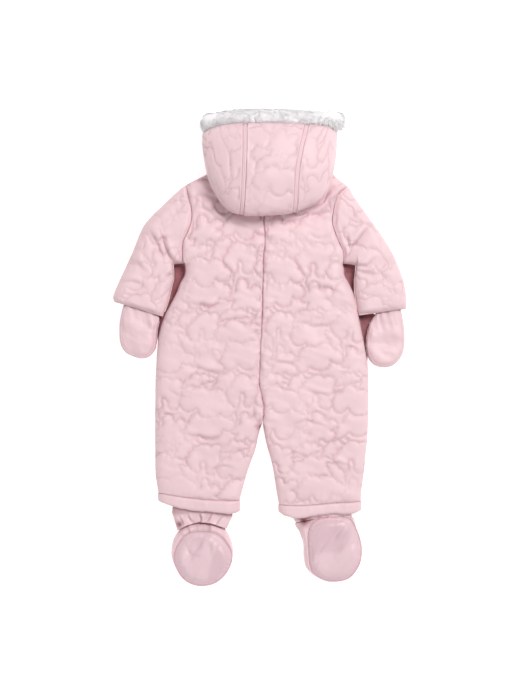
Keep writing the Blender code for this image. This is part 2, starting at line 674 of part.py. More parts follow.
def sleeve(name, table, full, armhole, shade):
    """Flattened tube from the armhole to the hem, its hollow opening out for the mitten."""
    shoulder, underarm = (np.array((row[1], row[0])) for row in (armhole[-1], armhole[0]))

    def plan(start, end, wall, curved):
        """Line between the folded edges, inside them by the wall, curved like the armhole."""
        part = wall / np.linalg.norm(end - start)
        at = (part + (1 - 2 * part) * np.array(CHORD))[:, None]
        seam = shoulder + (underarm - shoulder) * at
        bend = np.column_stack((body_side(full, seam[:, 1]) - seam[:, 0], np.zeros(len(at))))
        return start + (end - start) * at + bend * curved

    outer, inner = [], []
    for shoulder_x, shoulder_y, under_x, under_y, height, curved, wall, hollow in table:
        start = np.array((shoulder_x, shoulder_y))
        end = np.array((under_x, under_y))
        high = MID + (TOP - MID) * height
        outer.append(flat_ring(plan(start, end, 0.0, curved), MID - MID * height, high, ROLL))
        inner.append(flat_ring(plan(start, end, wall, curved), MID - hollow / 2, MID + hollow / 2, hollow))
    return tube(name, np.array(outer), np.array(inner), shade)


def leg_band(name, table, full, side, shade):
    """Plain band round the end of a leg, a flattened ring that stays open for the ankle."""
    x_side = float(body_side(full, LOWER_ROWS[0]))
    x_inner = INNER_EDGE[0][1 if side < 0 else 2] + side * SEAM_GAP / 2
    lines = ((table, 1, -SEAM_GAP / 2), (table, 2, 0.0))
    outer, inner = [], []
    for part, swell, height in ((0.0, 0.0, 0.86), (0.14, 0.8, 0.98), (0.86, 1.0, 0.98), (1.0, 0.4, 0.86)):
        low = MID - BAND_BELOW * height
        high = MID + BAND_ABOVE * height
        out = side * swell
        wall = side * BAND_WALL
        outer.append(flat_ring(line_plan(x_side + out, x_inner - out, part, lines), low, high, ROLL))
        inner.append(flat_ring(line_plan(x_side - wall, x_inner + wall, part, lines),
                               MID - BAND_HOLLOW / 2, MID + BAND_HOLLOW / 2, BAND_HOLLOW))
    return tube(name, np.array(outer), np.array(inner), shade)


def mitten(side_name, outline, hem_ends, shades):
    """Palm and back of a mitten, sewn together round the edge, the wrist inside the sleeve."""
    edge = closed_curve(outline, 14)
    middle = edge.mean(axis=0)
    (x0, y0), (x1, y1) = hem_ends
    shrink = np.array((1.0, 0.95, 0.84, 0.55))
    plan = middle + (edge - middle)[None] * shrink[:, None, None]
    hem_y = y0 + (y1 - y0) * (plan[..., 0] - x0) / (x1 - x0)
    wrist = ease(-WRIST_BLEND, WRIST_END, plan[..., 1] - hem_y)
    distance = (1 - shrink)[:, None] * np.linalg.norm(edge - middle, axis=1)[None]
    full = rounded(distance, 13.0)
    seam = MITTEN_MID + (MID - MITTEN_MID) * wrist
    high = MITTEN_TOP + (WRIST_TOP - MITTEN_TOP) * wrist
    low = WRIST_BOTTOM * wrist
    half_gap = 2 * SEAM_GAP
    flat_upper = seam + half_gap
    flat_lower = seam - half_gap
    outside_upper = flat_upper + 1.5 + (high - flat_upper - 1.5) * full
    outside_lower = flat_lower - 1.5 - (flat_lower - 1.5 - low) * full
    for piece, outside, flat in (("back", outside_upper, flat_upper), ("palm", outside_lower, flat_lower)):
        rings_out = np.dstack((plan, outside))
        rings_flat = np.dstack((plan, flat))
        stack = np.vstack((rings_flat[:1], rings_out))
        pad("mitten_%s_%s" % (piece, side_name), stack, rings_flat, shades[piece])


def ankle(name, table, band, gathers, shade):
    """Gathered tube from inside the leg band to the bootie."""
    lines = ((band, 2, ANKLE_INSIDE), (gathers, 1, 4 * SEAM_GAP))
    outer, inner = [], []
    for part, outer_x, inner_x, low, high, hollow in table:
        wall = 6.0 if inner_x > outer_x else -6.0
        middle = (low + high) / 2
        outer.append(flat_ring(line_plan(outer_x, inner_x, part, lines), low, high, 10.0))
        inner.append(flat_ring(line_plan(outer_x + wall, inner_x - wall, part, lines),
                               middle - hollow / 2, middle + hollow / 2, 4.0))
    return tube(name, np.array(outer), np.array(inner), shade)


def bootie(side_name, table, shades):
    """Upper as a shallow dish with a rolled rim, and the sole that closes it, facing up."""
    edges = closed_curve(table, 20)
    rim, seam = edges[:, :2], edges[:, 2:]
    middle = seam.mean(axis=0)
    upper_rings = [np.column_stack((rim, np.full(len(rim), UPPER_MID)))]
    for part, z in ((0.1, 14.4), (0.5, UPPER_RIM), (1.0, UPPER_SEAM)):
        upper_rings.append(np.column_stack((rim + (seam - rim) * part, np.full(len(rim), z))))
    for shrink, z in ((0.86, UPPER_INSIDE), (0.5, UPPER_INSIDE)):
        upper_rings.append(np.column_stack((middle + (seam - middle) * shrink, np.full(len(rim), z))))
    centre = rim.mean(axis=0)
    lower_rings = [upper_rings[0]]
    for shrink, z in ((0.98, 4.0), (0.9, 0.0), (0.5, 0.0)):
        lower_rings.append(np.column_stack((centre + (rim - centre) * shrink, np.full(len(rim), z))))
    pad("bootie_upper_" + side_name, np.array(upper_rings), np.array(lower_rings), shades["upper"])

    base = UPPER_SEAM + SEAM_GAP
    bottom = []
    for shrink, z in ((1.0, base), (0.86, UPPER_INSIDE + 2 * SEAM_GAP), (0.5, UPPER_INSIDE + 2 * SEAM_GAP)):
        bottom.append(np.column_stack((middle + (seam - middle) * shrink, np.full(len(rim), z))))
    top = [bottom[0]]
    for shrink, z in ((1.0, base + SOLE_EDGE), (0.95, 21.8), (0.82, 23.8), (0.5, SOLE_TOP)):
        top.append(np.column_stack((middle + (seam - middle) * shrink, np.full(len(rim), z))))
    pad("bootie_sole_" + side_name, np.array(top), np.array(bottom), shades["sole"])


# ---- hood --------------------------------------------------------------------------------------


def hood_row(section):
    """All columns of the hood's table at a section number, which may lie between two rows."""
    numbered = tuple((float(i),) + row for i, row in enumerate(HOOD))
    return [curve(numbered, column, section) for column in range(1, 10)]


def hood_point(section, angle):
    """Place on the hood's outer side: section from neck to mouth, signed angle round the arch."""
    crown_y, crown_z, side_y, side_z, left_x, right_x, under_y, under_z, _ = hood_row(section)
    size = np.abs(angle)
    turn = np.radians(size)
    half = np.where(angle < 0, NECK_MIDDLE - left_x, right_x - NECK_MIDDLE)
    x = NECK_MIDDLE + np.sign(angle) * half * np.sin(turn)
    corner = np.where(angle < 0, curve(HOOD_CORNER, 1, size), curve(HOOD_CORNER, 2, size))
    neck = 1 - ease(0.0, 1.0, section)
    corner = corner * (1 - neck) + np.sin(turn) ** 2 * neck
    cosine = np.cos(turn)
    over = np.clip(cosine, 0.0, 1.0)
    under = np.clip(-cosine, 0.0, 1.0)
    back_y = crown_y + (side_y - crown_y) * corner
    y = np.where(cosine > 0, back_y, side_y + (under_y - side_y) * under ** (1 + neck))
    z = np.where(cosine > 0, side_z + (crown_z - side_z) * over ** 0.62,
                 side_z + (under_z - side_z) * under ** (0.55 + 0.45 * neck))
    return np.stack(np.broadcast_arrays(x, y, z), axis=-1)


def seam_angle(section, side):
    """Signed angle of the left or right hood seam at a section."""
    row = hood_row(section)
    half = NECK_MIDDLE - row[4] if side < 0 else row[5] - NECK_MIDDLE
    x = curve(HOOD_SEAMS, 1 if side < 0 else 2, section)
    return float(np.degrees(np.arcsin((x - NECK_MIDDLE) / half)))


def above_back(points):
    """Lifts the points that hang over the back clear of its outer side."""
    x, y, z = points[..., 0], points[..., 1], points[..., 2]
    shoulder = LEFT_SHOULDER if x.mean() < NECK_MIDDLE else RIGHT_SHOULDER
    over_back = (y < top_y(x, NECK_Y, shoulder) + OVER_BACK) & (z > MID)
    lifted = points.copy()
    lifted[..., 2] = np.where(over_back, np.maximum(z, TOP + HOOD_CLEAR), z)
    return lifted


def hood_sides(section, angle):
    """Outer and inner side of the hood's wall at a section and an angle."""
    def outside(section_shift, angle_shift):
        return hood_point(np.clip(section + section_shift, 0.0, len(HOOD) - 1.0), angle + angle_shift)
    along = outside(0.1, 0.0) - outside(-0.1, 0.0)
    across = outside(0.0, 2.0) - outside(0.0, -2.0)
    normal = np.cross(along, across)
    normal /= np.linalg.norm(normal, axis=-1, keepdims=True)
    outer = above_back(outside(0.0, 0.0))
    inner = outer + normal * HOOD_WALL
    return clear_of_neck(outer), clear_of_neck(inner)


def clear_of_neck(points):
    """Keeps what lies lower than the back's outer side just outside the neck hole's edge."""
    moved = points.copy()
    in_hole = (points[..., 2] < TOP) & (np.abs(points[..., 0] - NECK_MIDDLE) < NECK_HALF + 4.0)
    edge = neck_y(points[..., 0], NECK_Y) + NECK_CLEAR
    moved[..., 1] = np.where(in_hole, np.maximum(points[..., 1], edge), points[..., 1])
    return moved


def hood_panel(name, first_angle, last_angle, columns, shade):
    """Panel of the hood between two angles, each a function of the section."""
    sections = np.array(HOOD_STATIONS)
    start = np.array([first_angle(s) for s in sections])
    end = np.array([last_angle(s) for s in sections])
    angle = start[:, None] + (end - start)[:, None] * np.linspace(0.0, 1.0, columns)[None]
    outer, inner = hood_sides(sections[:, None] * np.ones_like(angle), angle)
    inner[..., 2] = np.maximum(inner[..., 2], 1.0)
    return slab(name, outer, inner, shade)


def opening_angle(section):
    return float(hood_row(section)[8])


def fur_route():
    """Sections and angles along the face opening, from the left front over the crown to the right."""
    sections = np.linspace(0.4, 9.0, 9)
    left = [(s, -opening_angle(s)) for s in sections]
    crown = [(9.0, a) for a in np.linspace(-opening_angle(9.0), opening_angle(9.0), 13)[1:-1]]
    return left + crown + [(s, -a) for s, a in left[::-1]]


def fur_trim(shade):
    """Trim round the face opening: a flattened tube along the hood's cut edge."""
    edge, out = [], []
    angles = np.array([angle for section, angle in fur_route()])
    for section, angle in fur_route():
        here = hood_point(section, angle)
        along = here - hood_point(section - 0.05, angle)
        around = here - hood_point(section, angle - (2.0 if angle > 0 else -2.0))
        at_crown = ease(8.2, 9.0, section) * (1 - 0.5 * ease(70.0, 96.0, abs(angle)))
        edge.append(here)
        along /= np.linalg.norm(along)
        around /= np.linalg.norm(around)
        out.append(along * at_crown + around * (1 - at_crown))
    edge, out = np.array(edge), np.array(out)
    line = np.gradient(edge, axis=0)
    line /= np.linalg.norm(line, axis=1, keepdims=True)
    out -= line * np.sum(out * line, axis=1, keepdims=True)
    out /= np.linalg.norm(out, axis=1, keepdims=True)
    inward = np.cross(line, out)
    inward *= -np.sign(np.sum(inward * (edge - HOOD_HEART), axis=1, keepdims=True))
    gap = FUR_GAP_CROWN + (FUR_GAP_CORNER - FUR_GAP_CROWN) * ease(*FUR_GAP_ANGLES, np.abs(angles))
    size = np.abs(angles)
    flare = FUR_FLARE * ease(*FUR_FLARE_START, size) * (1 - ease(*FUR_FLARE_END, size))
    middle = edge + out * (FUR_REACH + gap[:, None]) + inward * (HOOD_WALL / 2 - flare[:, None])
    taper = np.ones(len(edge))
    taper[[0, -1]] = 0.72
    taper[[1, -2]] = 0.92
    turn = 2 * np.pi * np.arange(FUR_SIDES) / FUR_SIDES
    rings = (middle[:, None] + out[:, None] * (FUR_REACH * taper[:, None] * np.cos(turn))[..., None]
             + inward[:, None] * (FUR_HALF * taper[:, None] * np.sin(turn))[..., None])
    rings[..., 2] -= np.minimum(rings[..., 2].min(axis=1, keepdims=True), 0.0)
    vertices = np.vstack((rings.reshape(-1, 3), rings[0].mean(axis=0), rings[-1].mean(axis=0)))
    last = (len(rings) - 1) * FUR_SIDES
    faces = []
    for c in range(FUR_SIDES):
        d = (c + 1) % FUR_SIDES
        for ring in range(0, last, FUR_SIDES):
            faces.append((ring + c, ring + d, ring + FUR_SIDES + d, ring + FUR_SIDES + c))
        faces.append((d, c, len(vertices) - 2))
        faces.append((last + c, last + d, len(vertices) - 1))
    return add_object("hood_fur_trim", vertices, faces_outward(vertices, faces), shade)


# ---- zip ---------------------------------------------------------------------------------------


def plate_with_eye(name, outline, eye, near, far, axes, shade):
    """Plate with a rectangular hole, from near to far; axes say which of x, y, z each number is."""
    loops = []
    for (a0, b0), (a1, b1) in (outline, eye):
        corners = ((a0, b0), (a1, b0), (a1, b1), (a0, b1))
        rings = np.zeros((2, 4, 3))
        for k, height in enumerate((near, far)):
            rings[k][:, axes[0]] = [corner[0] for corner in corners]
            rings[k][:, axes[1]] = [corner[1] for corner in corners]
            rings[k][:, axes[2]] = height
        loops.append(rings)
    return tube(name, loops[0], loops[1], shade)


def zip_parts(tape, metal):
    """Zip under the front's split: two tapes, the coil, the slider with its bail, and the tab."""
    top = NECK_Y - 3.0
    for name, side in (("left", -1), ("right", 1)):
        near, far = sorted((side * 0.3, side * TAPE_HALF))
        box("zip_tape_" + name, (ZIP_X + near, ZIP_BOTTOM_Y, TAPE_BOTTOM), (ZIP_X + far, top, TAPE_TOP), tape)
    box("zip_coil", (ZIP_X - COIL_HALF, ZIP_BOTTOM_Y, COIL_BOTTOM),
        (ZIP_X + COIL_HALF, top, TAPE_BOTTOM - SEAM_GAP), tape)
    slider = box("zip_slider", (ZIP_X - SLIDER_HALF_WIDTH, SLIDER_Y - SLIDER_LENGTH / 2, SLIDER_BOTTOM),
                 (ZIP_X + SLIDER_HALF_WIDTH, SLIDER_Y + SLIDER_LENGTH / 2, SLIDER_TOP), metal)
    opening = BAIL_HALF_LENGTH - BAIL_THICKNESS
    bail = plate_with_eye(
        "bail_shape",
        ((SLIDER_Y - BAIL_HALF_LENGTH, AXIS_Z - BAIL_DROP - BAIL_THICKNESS),
         (SLIDER_Y + BAIL_HALF_LENGTH, SLIDER_TOP - 0.5)),
        ((SLIDER_Y - opening, AXIS_Z - BAIL_DROP), (SLIDER_Y + opening, SLIDER_BOTTOM + 0.3)),
        ZIP_X - BAIL_HALF_WIDTH, ZIP_X + BAIL_HALF_WIDTH, (1, 2, 0), metal)
    bail.hide_render = True
    bail.display_type = "WIRE"
    union = slider.modifiers.new("bail", "BOOLEAN")
    union.operation = "UNION"
    union.object = bail
    bar = TAB_BAR / 2
    plate_with_eye(
        "zip_pull_tab",
        ((ZIP_X - TAB_HALF_WIDTH, SLIDER_Y + bar - TAB_LENGTH), (ZIP_X + TAB_HALF_WIDTH, SLIDER_Y + bar)),
        ((ZIP_X - TAB_EYE_HALF_WIDTH, SLIDER_Y - bar - TAB_EYE_LENGTH),
         (ZIP_X + TAB_EYE_HALF_WIDTH, SLIDER_Y - bar)),
        AXIS_Z - TAB_THICKNESS / 2, AXIS_Z + TAB_THICKNESS / 2, (0, 1, 2), metal)


def clear_scene():
    for old in list(bpy.data.objects):
        bpy.data.objects.remove(old, do_unlink=True)


def main():
    clear_scene()
    quilted = material("quilted_cloth", (0.86, 0.66, 0.68), 0.6)
    quilted_front = material("quilted_front", (0.84, 0.63, 0.65), 0.6)
    plain = material("plain_cloth", (0.82, 0.62, 0.66), 0.6)
    sole = material("sole_cloth", (0.76, 0.56, 0.62), 0.4)
    fur = material("white_fur", (0.9, 0.87, 0.88), 0.9)
    tape = material("zip_tape", (0.8, 0.6, 0.63), 0.7)
    metal = material("zip_metal", (0.7, 0.68, 0.68), 0.3, 1.0)

    back_half("back_left", LEFT_BACK, LEFT_ARMHOLE, LEFT_HEM, quilted)
    back_half("back_right", RIGHT_BACK, RIGHT_ARMHOLE, RIGHT_HEM, quilted)
    front_half("front_left", LEFT_BACK, LEFT_FRONT_EXTRA, LEFT_ARMHOLE, LEFT_HEM, quilted_front)
    front_half("front_right", RIGHT_BACK, RIGHT_FRONT_EXTRA, RIGHT_ARMHOLE, RIGHT_HEM, quilted_front)
    sleeve("sleeve_left", LEFT_SLEEVE, LEFT_BACK + LEFT_ARMHOLE, LEFT_ARMHOLE, quilted)
    sleeve("sleeve_right", RIGHT_SLEEVE, RIGHT_BACK + RIGHT_ARMHOLE, RIGHT_ARMHOLE, quilted)
    leg_band("leg_band_left", LEFT_HEM, LEFT_BACK, -1, plain)
    leg_band("leg_band_right", RIGHT_HEM, RIGHT_BACK, 1, plain)
    mitten_shades = {"back": plain, "palm": plain}
    mitten("left", LEFT_MITTEN, (LEFT_SLEEVE[-1][:2], LEFT_SLEEVE[-1][2:4]), mitten_shades)
    mitten("right", RIGHT_MITTEN, (RIGHT_SLEEVE[-1][:2], RIGHT_SLEEVE[-1][2:4]), mitten_shades)
    ankle("bootie_ankle_left", LEFT_ANKLE, LEFT_HEM, LEFT_GATHERS, plain)
    ankle("bootie_ankle_right", RIGHT_ANKLE, RIGHT_HEM, RIGHT_GATHERS, plain)
    bootie("left", LEFT_BOOTIE, {"upper": plain, "sole": sole})
    bootie("right", RIGHT_BOOTIE, {"upper": plain, "sole": sole})
    hood_panel("hood_side_left", lambda s: -opening_angle(s), lambda s: seam_angle(s, -1) - SEAM_TURN,
               9, quilted)
    hood_panel("hood_centre", lambda s: seam_angle(s, -1) + SEAM_TURN, lambda s: seam_angle(s, 1) - SEAM_TURN,
               5, quilted)
    hood_panel("hood_side_right", lambda s: seam_angle(s, 1) + SEAM_TURN, opening_angle, 9, quilted)
    fur_trim(fur)
    zip_parts(tape, metal)


main()
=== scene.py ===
"""Looks of a quilted baby pramsuit that lies face down: fine cloth over the frame's plain solids.

Lengths are in millimetres of the tables' frame until a mesh is made. Left and right are as seen
from above, with the hood away from the viewer.
"""
import math
import bpy
import numpy as np
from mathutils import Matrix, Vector, kdtree


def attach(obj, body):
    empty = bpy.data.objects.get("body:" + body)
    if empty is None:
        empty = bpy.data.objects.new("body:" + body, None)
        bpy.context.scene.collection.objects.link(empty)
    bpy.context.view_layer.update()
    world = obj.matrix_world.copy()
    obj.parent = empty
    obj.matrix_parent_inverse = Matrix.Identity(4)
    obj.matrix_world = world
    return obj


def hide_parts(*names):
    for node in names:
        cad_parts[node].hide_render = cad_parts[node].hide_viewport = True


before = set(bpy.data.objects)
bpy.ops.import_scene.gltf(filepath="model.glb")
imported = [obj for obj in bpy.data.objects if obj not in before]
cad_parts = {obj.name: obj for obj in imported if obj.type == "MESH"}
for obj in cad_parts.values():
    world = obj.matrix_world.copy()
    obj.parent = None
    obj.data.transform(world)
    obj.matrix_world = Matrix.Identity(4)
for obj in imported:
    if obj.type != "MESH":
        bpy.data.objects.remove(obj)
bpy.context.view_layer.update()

MM = 0.001
SHIFT_X = 3.7          # moves the measured tables so that the box of the suit is centred
SHIFT_Y = 7.1

MID = 13.5             # height of the side seams, where front and back meet
TOP = 27.0             # height of the back cloth's outer side
SEAM_GAP = 0.3         # between two pieces that are sewn together
EDGE = 3.0             # wadded cloth left at a seam
ROLL = 17.0            # how far a side edge takes to reach full height
SEAM_DIP = 0.42        # part of the height that a flat seam pulls down
SEAM_DIP_WIDTH = 8.0

NECK_MIDDLE = 11.0     # the neck hole: middle, half width and the depth of its two curves
NECK_HALF = 85.0
NECK_SIDE_Y = 237.0
NECK_Y = 205.0

ZIP_X = 0.0
ZIP_HALF_GAP = 4.8     # cloth edge to the middle of the zip
ZIP_BOTTOM_Y = -95.0
ZIP_LOW = -124.0       # the split closes between these heights, below the zip
ZIP_HIGH = -101.0

# Pattern edges of the body: y, x of the side. The armholes go on from the sides.
LEFT_BACK = (
    (-217, -144.8), (-203, -146.7), (-190, -148.2), (-175, -149.2), (-160, -149.4), (-145, -149.5),
    (-130, -149.5), (-120, -149.5), (-110, -149.5), (-97, -149.5), (-80, -149.4), (-60, -149.2),
    (-35, -148.2), (-10, -146.6), (10, -144.3), (25, -140.6), (40, -135.3), (55, -127.4), (70, -119.6),
    (84, -114.2), (95, -108.4), (104, -107.2),
)
LEFT_ARMHOLE = (
    (111.5, -108.6), (114, -110), (120, -111), (130, -111.4), (141, -110.2), (155, -104), (170, -98.8),
    (185, -98.4), (200, -102), (211, -104.4), (217, -105.5), (221, -106.2),
)
RIGHT_BACK = (
    (-217, 137), (-203, 137.8), (-190, 139.6), (-175, 141.6), (-160, 143.2), (-145, 144.7), (-130, 146),
    (-120, 146.6), (-110, 147), (-97, 147.3), (-80, 147.5), (-60, 147.5), (-35, 146.7), (-10, 142.9),
    (10, 139), (25, 136), (40, 133), (55, 130), (70, 126), (84, 119.6), (95, 113.8), (104, 113),
)
RIGHT_ARMHOLE = (
    (111, 111.6), (113.5, 112), (119, 112.6), (128, 111.6), (139, 106.6), (153, 101), (168, 96.8),
    (183, 98), (198, 101.6), (209, 107), (215, 113.6), (219, 118),
)
# Centre seam down to the crotch and the inside leg edges below it, as y, left x, right x.
INNER_EDGE = (
    (-217, -31.6, 22.6), (-203, -27.6, 19.6), (-190, -24.2, 17.3), (-175, -19.6, 14.5),
    (-160, -14.2, 11), (-145, -9, 6.7), (-130, -6.2, 3.2), (-120, -3.9, 1.6), (-110, -0.6, 0.4),
    (-97, 1.8, 1.8), (-80, 0.6, 0.6), (-60, -4, -4), (-35, -3.9, -3.9), (-10, -3, -3), (10, -2, -2),
    (25, -1.2, -1.2), (40, -0.5, -0.5), (55, 0, 0), (70, 0, 0), (84, 0.4, 0.4), (95, 0.9, 0.9),
    (104, 1, 1), (120, 1.5, 1.5), (130, 2.4, 2.4), (141, 3.4, 3.4), (155, 3.2, 3.2), (170, 2.2, 2.2),
    (185, 2, 2), (206, 2, 2),
)

# Hem lines of the legs: x, y where the quilted cloth ends, y of the band's lower edge.
LEFT_HEM = (
    (-147, -207.3, -218.6), (-130, -210.2, -224.3), (-115, -212.6, -228.8), (-100, -214.6, -231.4),
    (-80, -217, -233.2), (-60, -217.8, -234.8), (-42, -218.4, -236), (-31, -217.6, -232.6),
)
RIGHT_HEM = (
    (22, -223.8, -234.2), (34, -224.8, -239.6), (46, -225.2, -242.8), (60, -225, -241.4),
    (80, -223.2, -237.6), (100, -221.6, -235.6), (120, -220.6, -236.4), (138, -219.4, -231.6),
)

# Rings of a sleeve from the armhole to the hem: shoulder side x, y; underarm side x, y; how much of
# the armhole's curve is left; wall at the two folded edges; height of the hollow inside.
LEFT_SLEEVE = (
    (-107.8, 221, -110.2, 111.5, 1, 11, 1.5), (-112, 217.2, -114.8, 111, 0.8, 11, 1.5),
    (-124, 206.8, -120.6, 110.4, 0.42, 11, 1.5), (-138, 193.2, -124.6, 108.6, 0.15, 11, 1.5),
    (-153, 179, -123.4, 100.4, 0, 11, 1.5), (-166.6, 161.8, -123.4, 91, 0, 11, 1.5),
    (-181.6, 125.6, -127.7, 72.9, 0, 11, 1.5), (-195, 96.4, -131, 58.4, 0, 10, 4),
    (-203.2, 78.6, -133.8, 50.2, 0, 7.5, 10), (-207.8, 65.8, -136.4, 43.6, 0, 5, 12.4),
    (-206.8, 58.2, -138.6, 37.2, 0, 3.6, 12.4),
)
RIGHT_SLEEVE = (
    (119.7, 219, 113.3, 111, 1, 11, 1.5), (122.6, 213.8, 118.4, 110.4, 0.8, 11, 1.5),
    (128.6, 203.6, 125, 109.6, 0.42, 11, 1.5), (137.4, 190.8, 130, 107.4, 0.15, 11, 1.5),
    (149, 174.6, 129.2, 99.6, 0, 11, 1.5), (163.4, 154.2, 127.8, 88.6, 0, 11, 1.5),
    (181.2, 125.6, 128.1, 72.8, 0, 11, 1.5), (191.6, 101, 129.8, 60.2, 0, 10, 4),
    (197.2, 83.8, 131.2, 52.2, 0, 7.5, 10), (200.2, 65.8, 132.4, 45, 0, 5, 12.4),
    (200.4, 48.4, 133.6, 38.8, 0, 3.6, 12.4),
)

# Pattern edge of a mitten, clockwise from the wrist's outer corner: x, y.
LEFT_MITTEN = (
    (-189, 62), (-193.6, 52), (-196.6, 42), (-199.2, 29), (-199.6, 15), (-199, 4), (-196, -5.5),
    (-190.4, -12.8), (-182, -17.4), (-171, -20.8), (-160.8, -19.8), (-154, -14.8), (-149.2, -7.6),
    (-147.4, 2), (-147.2, 12), (-146, 22), (-143.8, 31), (-144.4, 38), (-148.4, 45), (-154, 51.5),
    (-171, 58),
)
RIGHT_MITTEN = (
    (187, 55), (191.4, 48), (194.2, 40), (196.4, 29), (198, 15), (198, 0), (196, -12), (191, -22),
    (184, -29), (175, -32.8), (165, -33), (155.4, -29.8), (148.8, -22), (145.6, -12), (144.4, -3),
    (144.9, 8), (146.9, 19), (149.6, 28), (154.6, 35.4), (157.6, 42), (160.6, 50), (174, 54),
)
MITTEN_TOP = 20.0      # the mitten's body, and its wrist inside the sleeve's hem
MITTEN_MID = 10.0
WRIST_TOP = 18.9
WRIST_BOTTOM = 8.3
WRIST_BLEND = 20.0
WRIST_END = -5.0

# Ankle of a bootie from inside the leg band to the gathers: part of the way, outer x, inner x, lowest
# z, highest z, height of the hollow. The y of both ends comes from the band and the gathers.
LEFT_ANKLE = (
    (0, -124.5, -42.5, 7.4, 19.6, 1.5), (0.4, -126, -41.8, 6.8, 19.7, 1.5),
    (1, -118.6, -49.6, 2, 20, 1.5),
)
RIGHT_ANKLE = (
    (0, 42.5, 122, 7.4, 19.6, 1.5), (0.4, 41, 123.2, 6.8, 19.6, 1.5), (1, 46, 124.6, 7, 19.4, 1.5),
)
BAND_ABOVE = 11.3      # a leg band's reach above and below the side seams, its wall and its hollow
BAND_BELOW = 12.3
BAND_WALL = 4.0
BAND_HOLLOW = 14.0
ANKLE_INSIDE = 7.0     # length of the ankle hidden in the leg band
ANKLE_UNDER = 1.8      # how far it reaches under the bootie's rim
ANKLE_WALL = 6.0
LEFT_GATHERS = (
    (-118.8, -259), (-110, -253.4), (-100, -249.6), (-89, -247.2), (-75, -247.8), (-62, -251.4),
    (-49.4, -256),
)
RIGHT_GATHERS = ((46, -247), (60, -244.4), (80, -240.6), (96, -238.8), (112, -238.8), (124.8, -240.4))

# Pattern edges of the booties, clockwise: x, y of the upper's edge, x, y of the sole's edge.
LEFT_BOOTIE = (
    (-82, -248.4, -84, -262.6), (-68, -250.6, -69, -264), (-55, -255.6, -58.6, -269.4),
    (-46.6, -267, -50.8, -278.6), (-41.6, -281, -44.6, -288.6), (-41, -296, -42.6, -299.6),
    (-45, -312, -46.6, -311.6), (-54, -325.4, -55.4, -324), (-67, -334.6, -68, -333),
    (-83, -338, -83.4, -336.4), (-99, -335.4, -98.4, -333.8), (-112, -327, -111, -325.4),
    (-121.8, -311.4, -119.8, -311.4), (-126.8, -297, -122.4, -299), (-126.4, -282, -120, -286),
    (-122, -268.4, -113.4, -274.4), (-111, -255.4, -105, -266), (-97, -249.6, -95, -262.8),
)
RIGHT_BOOTIE = (
    (99, -239.8, 100, -241.4), (113, -240.2, 112, -242), (126.6, -243, 122.6, -246.6),
    (131.4, -256, 128.6, -256.6), (135.8, -268.6, 133.6, -269), (139, -284, 136.8, -284.6),
    (138, -300.6, 136, -300.4), (132.4, -314.4, 130.6, -313.4), (121.4, -326.8, 120.4, -325.2),
    (105, -331.6, 104.6, -330), (87, -330.6, 87.4, -329), (71, -323, 73.4, -321),
    (60.6, -312, 67.4, -311), (57.2, -296, 65.4, -296), (56.6, -279, 64.4, -280),
    (51.6, -263.6, 64.4, -264), (46.6, -249.4, 69.6, -251.4), (76, -242.8, 83, -243),
)
UPPER_MID = 9.0        # widest height of the upper, its rim, and its inside under the sole
UPPER_RIM = 18.4
UPPER_SEAM = 16.6
UPPER_INSIDE = 10.2
SOLE_TOP = 24.4

# Sections of the hood from the neck seam over the crown to the mouth. The crown's y and z; the
# sides' y and z, left x and right x; the y and z that the cloth tends to under the cheeks;
# the angle round the arch, 0 at the crown and 90 at the sides, where the face opening cuts it.
HOOD = (
    (205.8, 28.6, 238.4, 15, -74, 96, 205.8, 5, 171), (190, 29.6, 245, 18, -77, 98.4, 209, 4.6, 161),
    (178.6, 35, 253, 20, -80, 100.4, 215, 4.4, 151), (174.8, 46, 262, 21, -82, 102, 223, 4.4, 141),
    (181, 60, 268, 22, -83.4, 102.6, 238, 4.4, 131), (202, 71, 274, 22.5, -84.3, 102.9, 254, 5, 122),
    (234, 75, 280, 23, -84.5, 103.2, 268, 6, 114), (266, 72, 286, 23.5, -84, 103.5, 280, 8.6, 107),
    (291, 62, 290, 24, -83, 103.5, 288, 12.6, 101), (304, 51, 291, 25, -81, 103, 291, 20, 96),
)
# How far the arch has come down from the crown's y to the sides' y: angle, left, right.
HOOD_CORNER = (
    (0, 0, 0), (12, 0, 0.017), (26, 0.017, 0.08), (33, 0.052, 0.126), (41, 0.126, 0.176),
    (50, 0.264, 0.245), (58, 0.402, 0.345), (65, 0.54, 0.45), (71, 0.69, 0.64), (78, 0.862, 0.8),
    (90, 1, 1),
)
# The two seams along the hood: section number, x of the left seam, x of the right seam.
HOOD_SEAMS = (
    (0, -26, 41), (3, -29, 44), (4, -28.6, 45), (5, -27, 46), (6, -25.6, 47.6), (7, -24.6, 53),
    (8, -24.4, 58.6), (9, -24.4, 60.4),
)
HOOD_WALL = 7.5
HOOD_CLEAR = 0.9       # between the back and the hood that lies on it
NECK_CLEAR = 1.6
OVER_BACK = 6.0        # how far past the neck curve the hood already keeps that height
LEFT_SHOULDER = (LEFT_ARMHOLE[-1][1], LEFT_ARMHOLE[-1][0])
RIGHT_SHOULDER = (RIGHT_ARMHOLE[-1][1], RIGHT_ARMHOLE[-1][0])
FUR_REACH = 12.5       # half the trim's width along the cloth, and half its thickness
FUR_HALF = 11.5
FUR_GAP_ANGLES = (30.0, 66.0)  # the trim's gap to the cloth grows between these angles
FUR_FLARE = 11.0       # how far the trim stands out past the hood at the mouth's corners
FUR_FLARE_START = (50.0, 84.0)
FUR_FLARE_END = (99.0, 118.0)
HOOD_HEART = np.array((NECK_MIDDLE, 255.0, 30.0))

JOINED = (-124.0, -108.0)      # the halves' inner edges go over into the centre seam between these
ARMED = (106.0, 114.0)         # and their sides into the armholes between these
UPPER_START = 0.06     # part of the length above LOWER_MARKS that the sides need to the armhole
TAPE_BOTTOM = 6.9      # lower side of the zip's tapes, which the fronts pass under


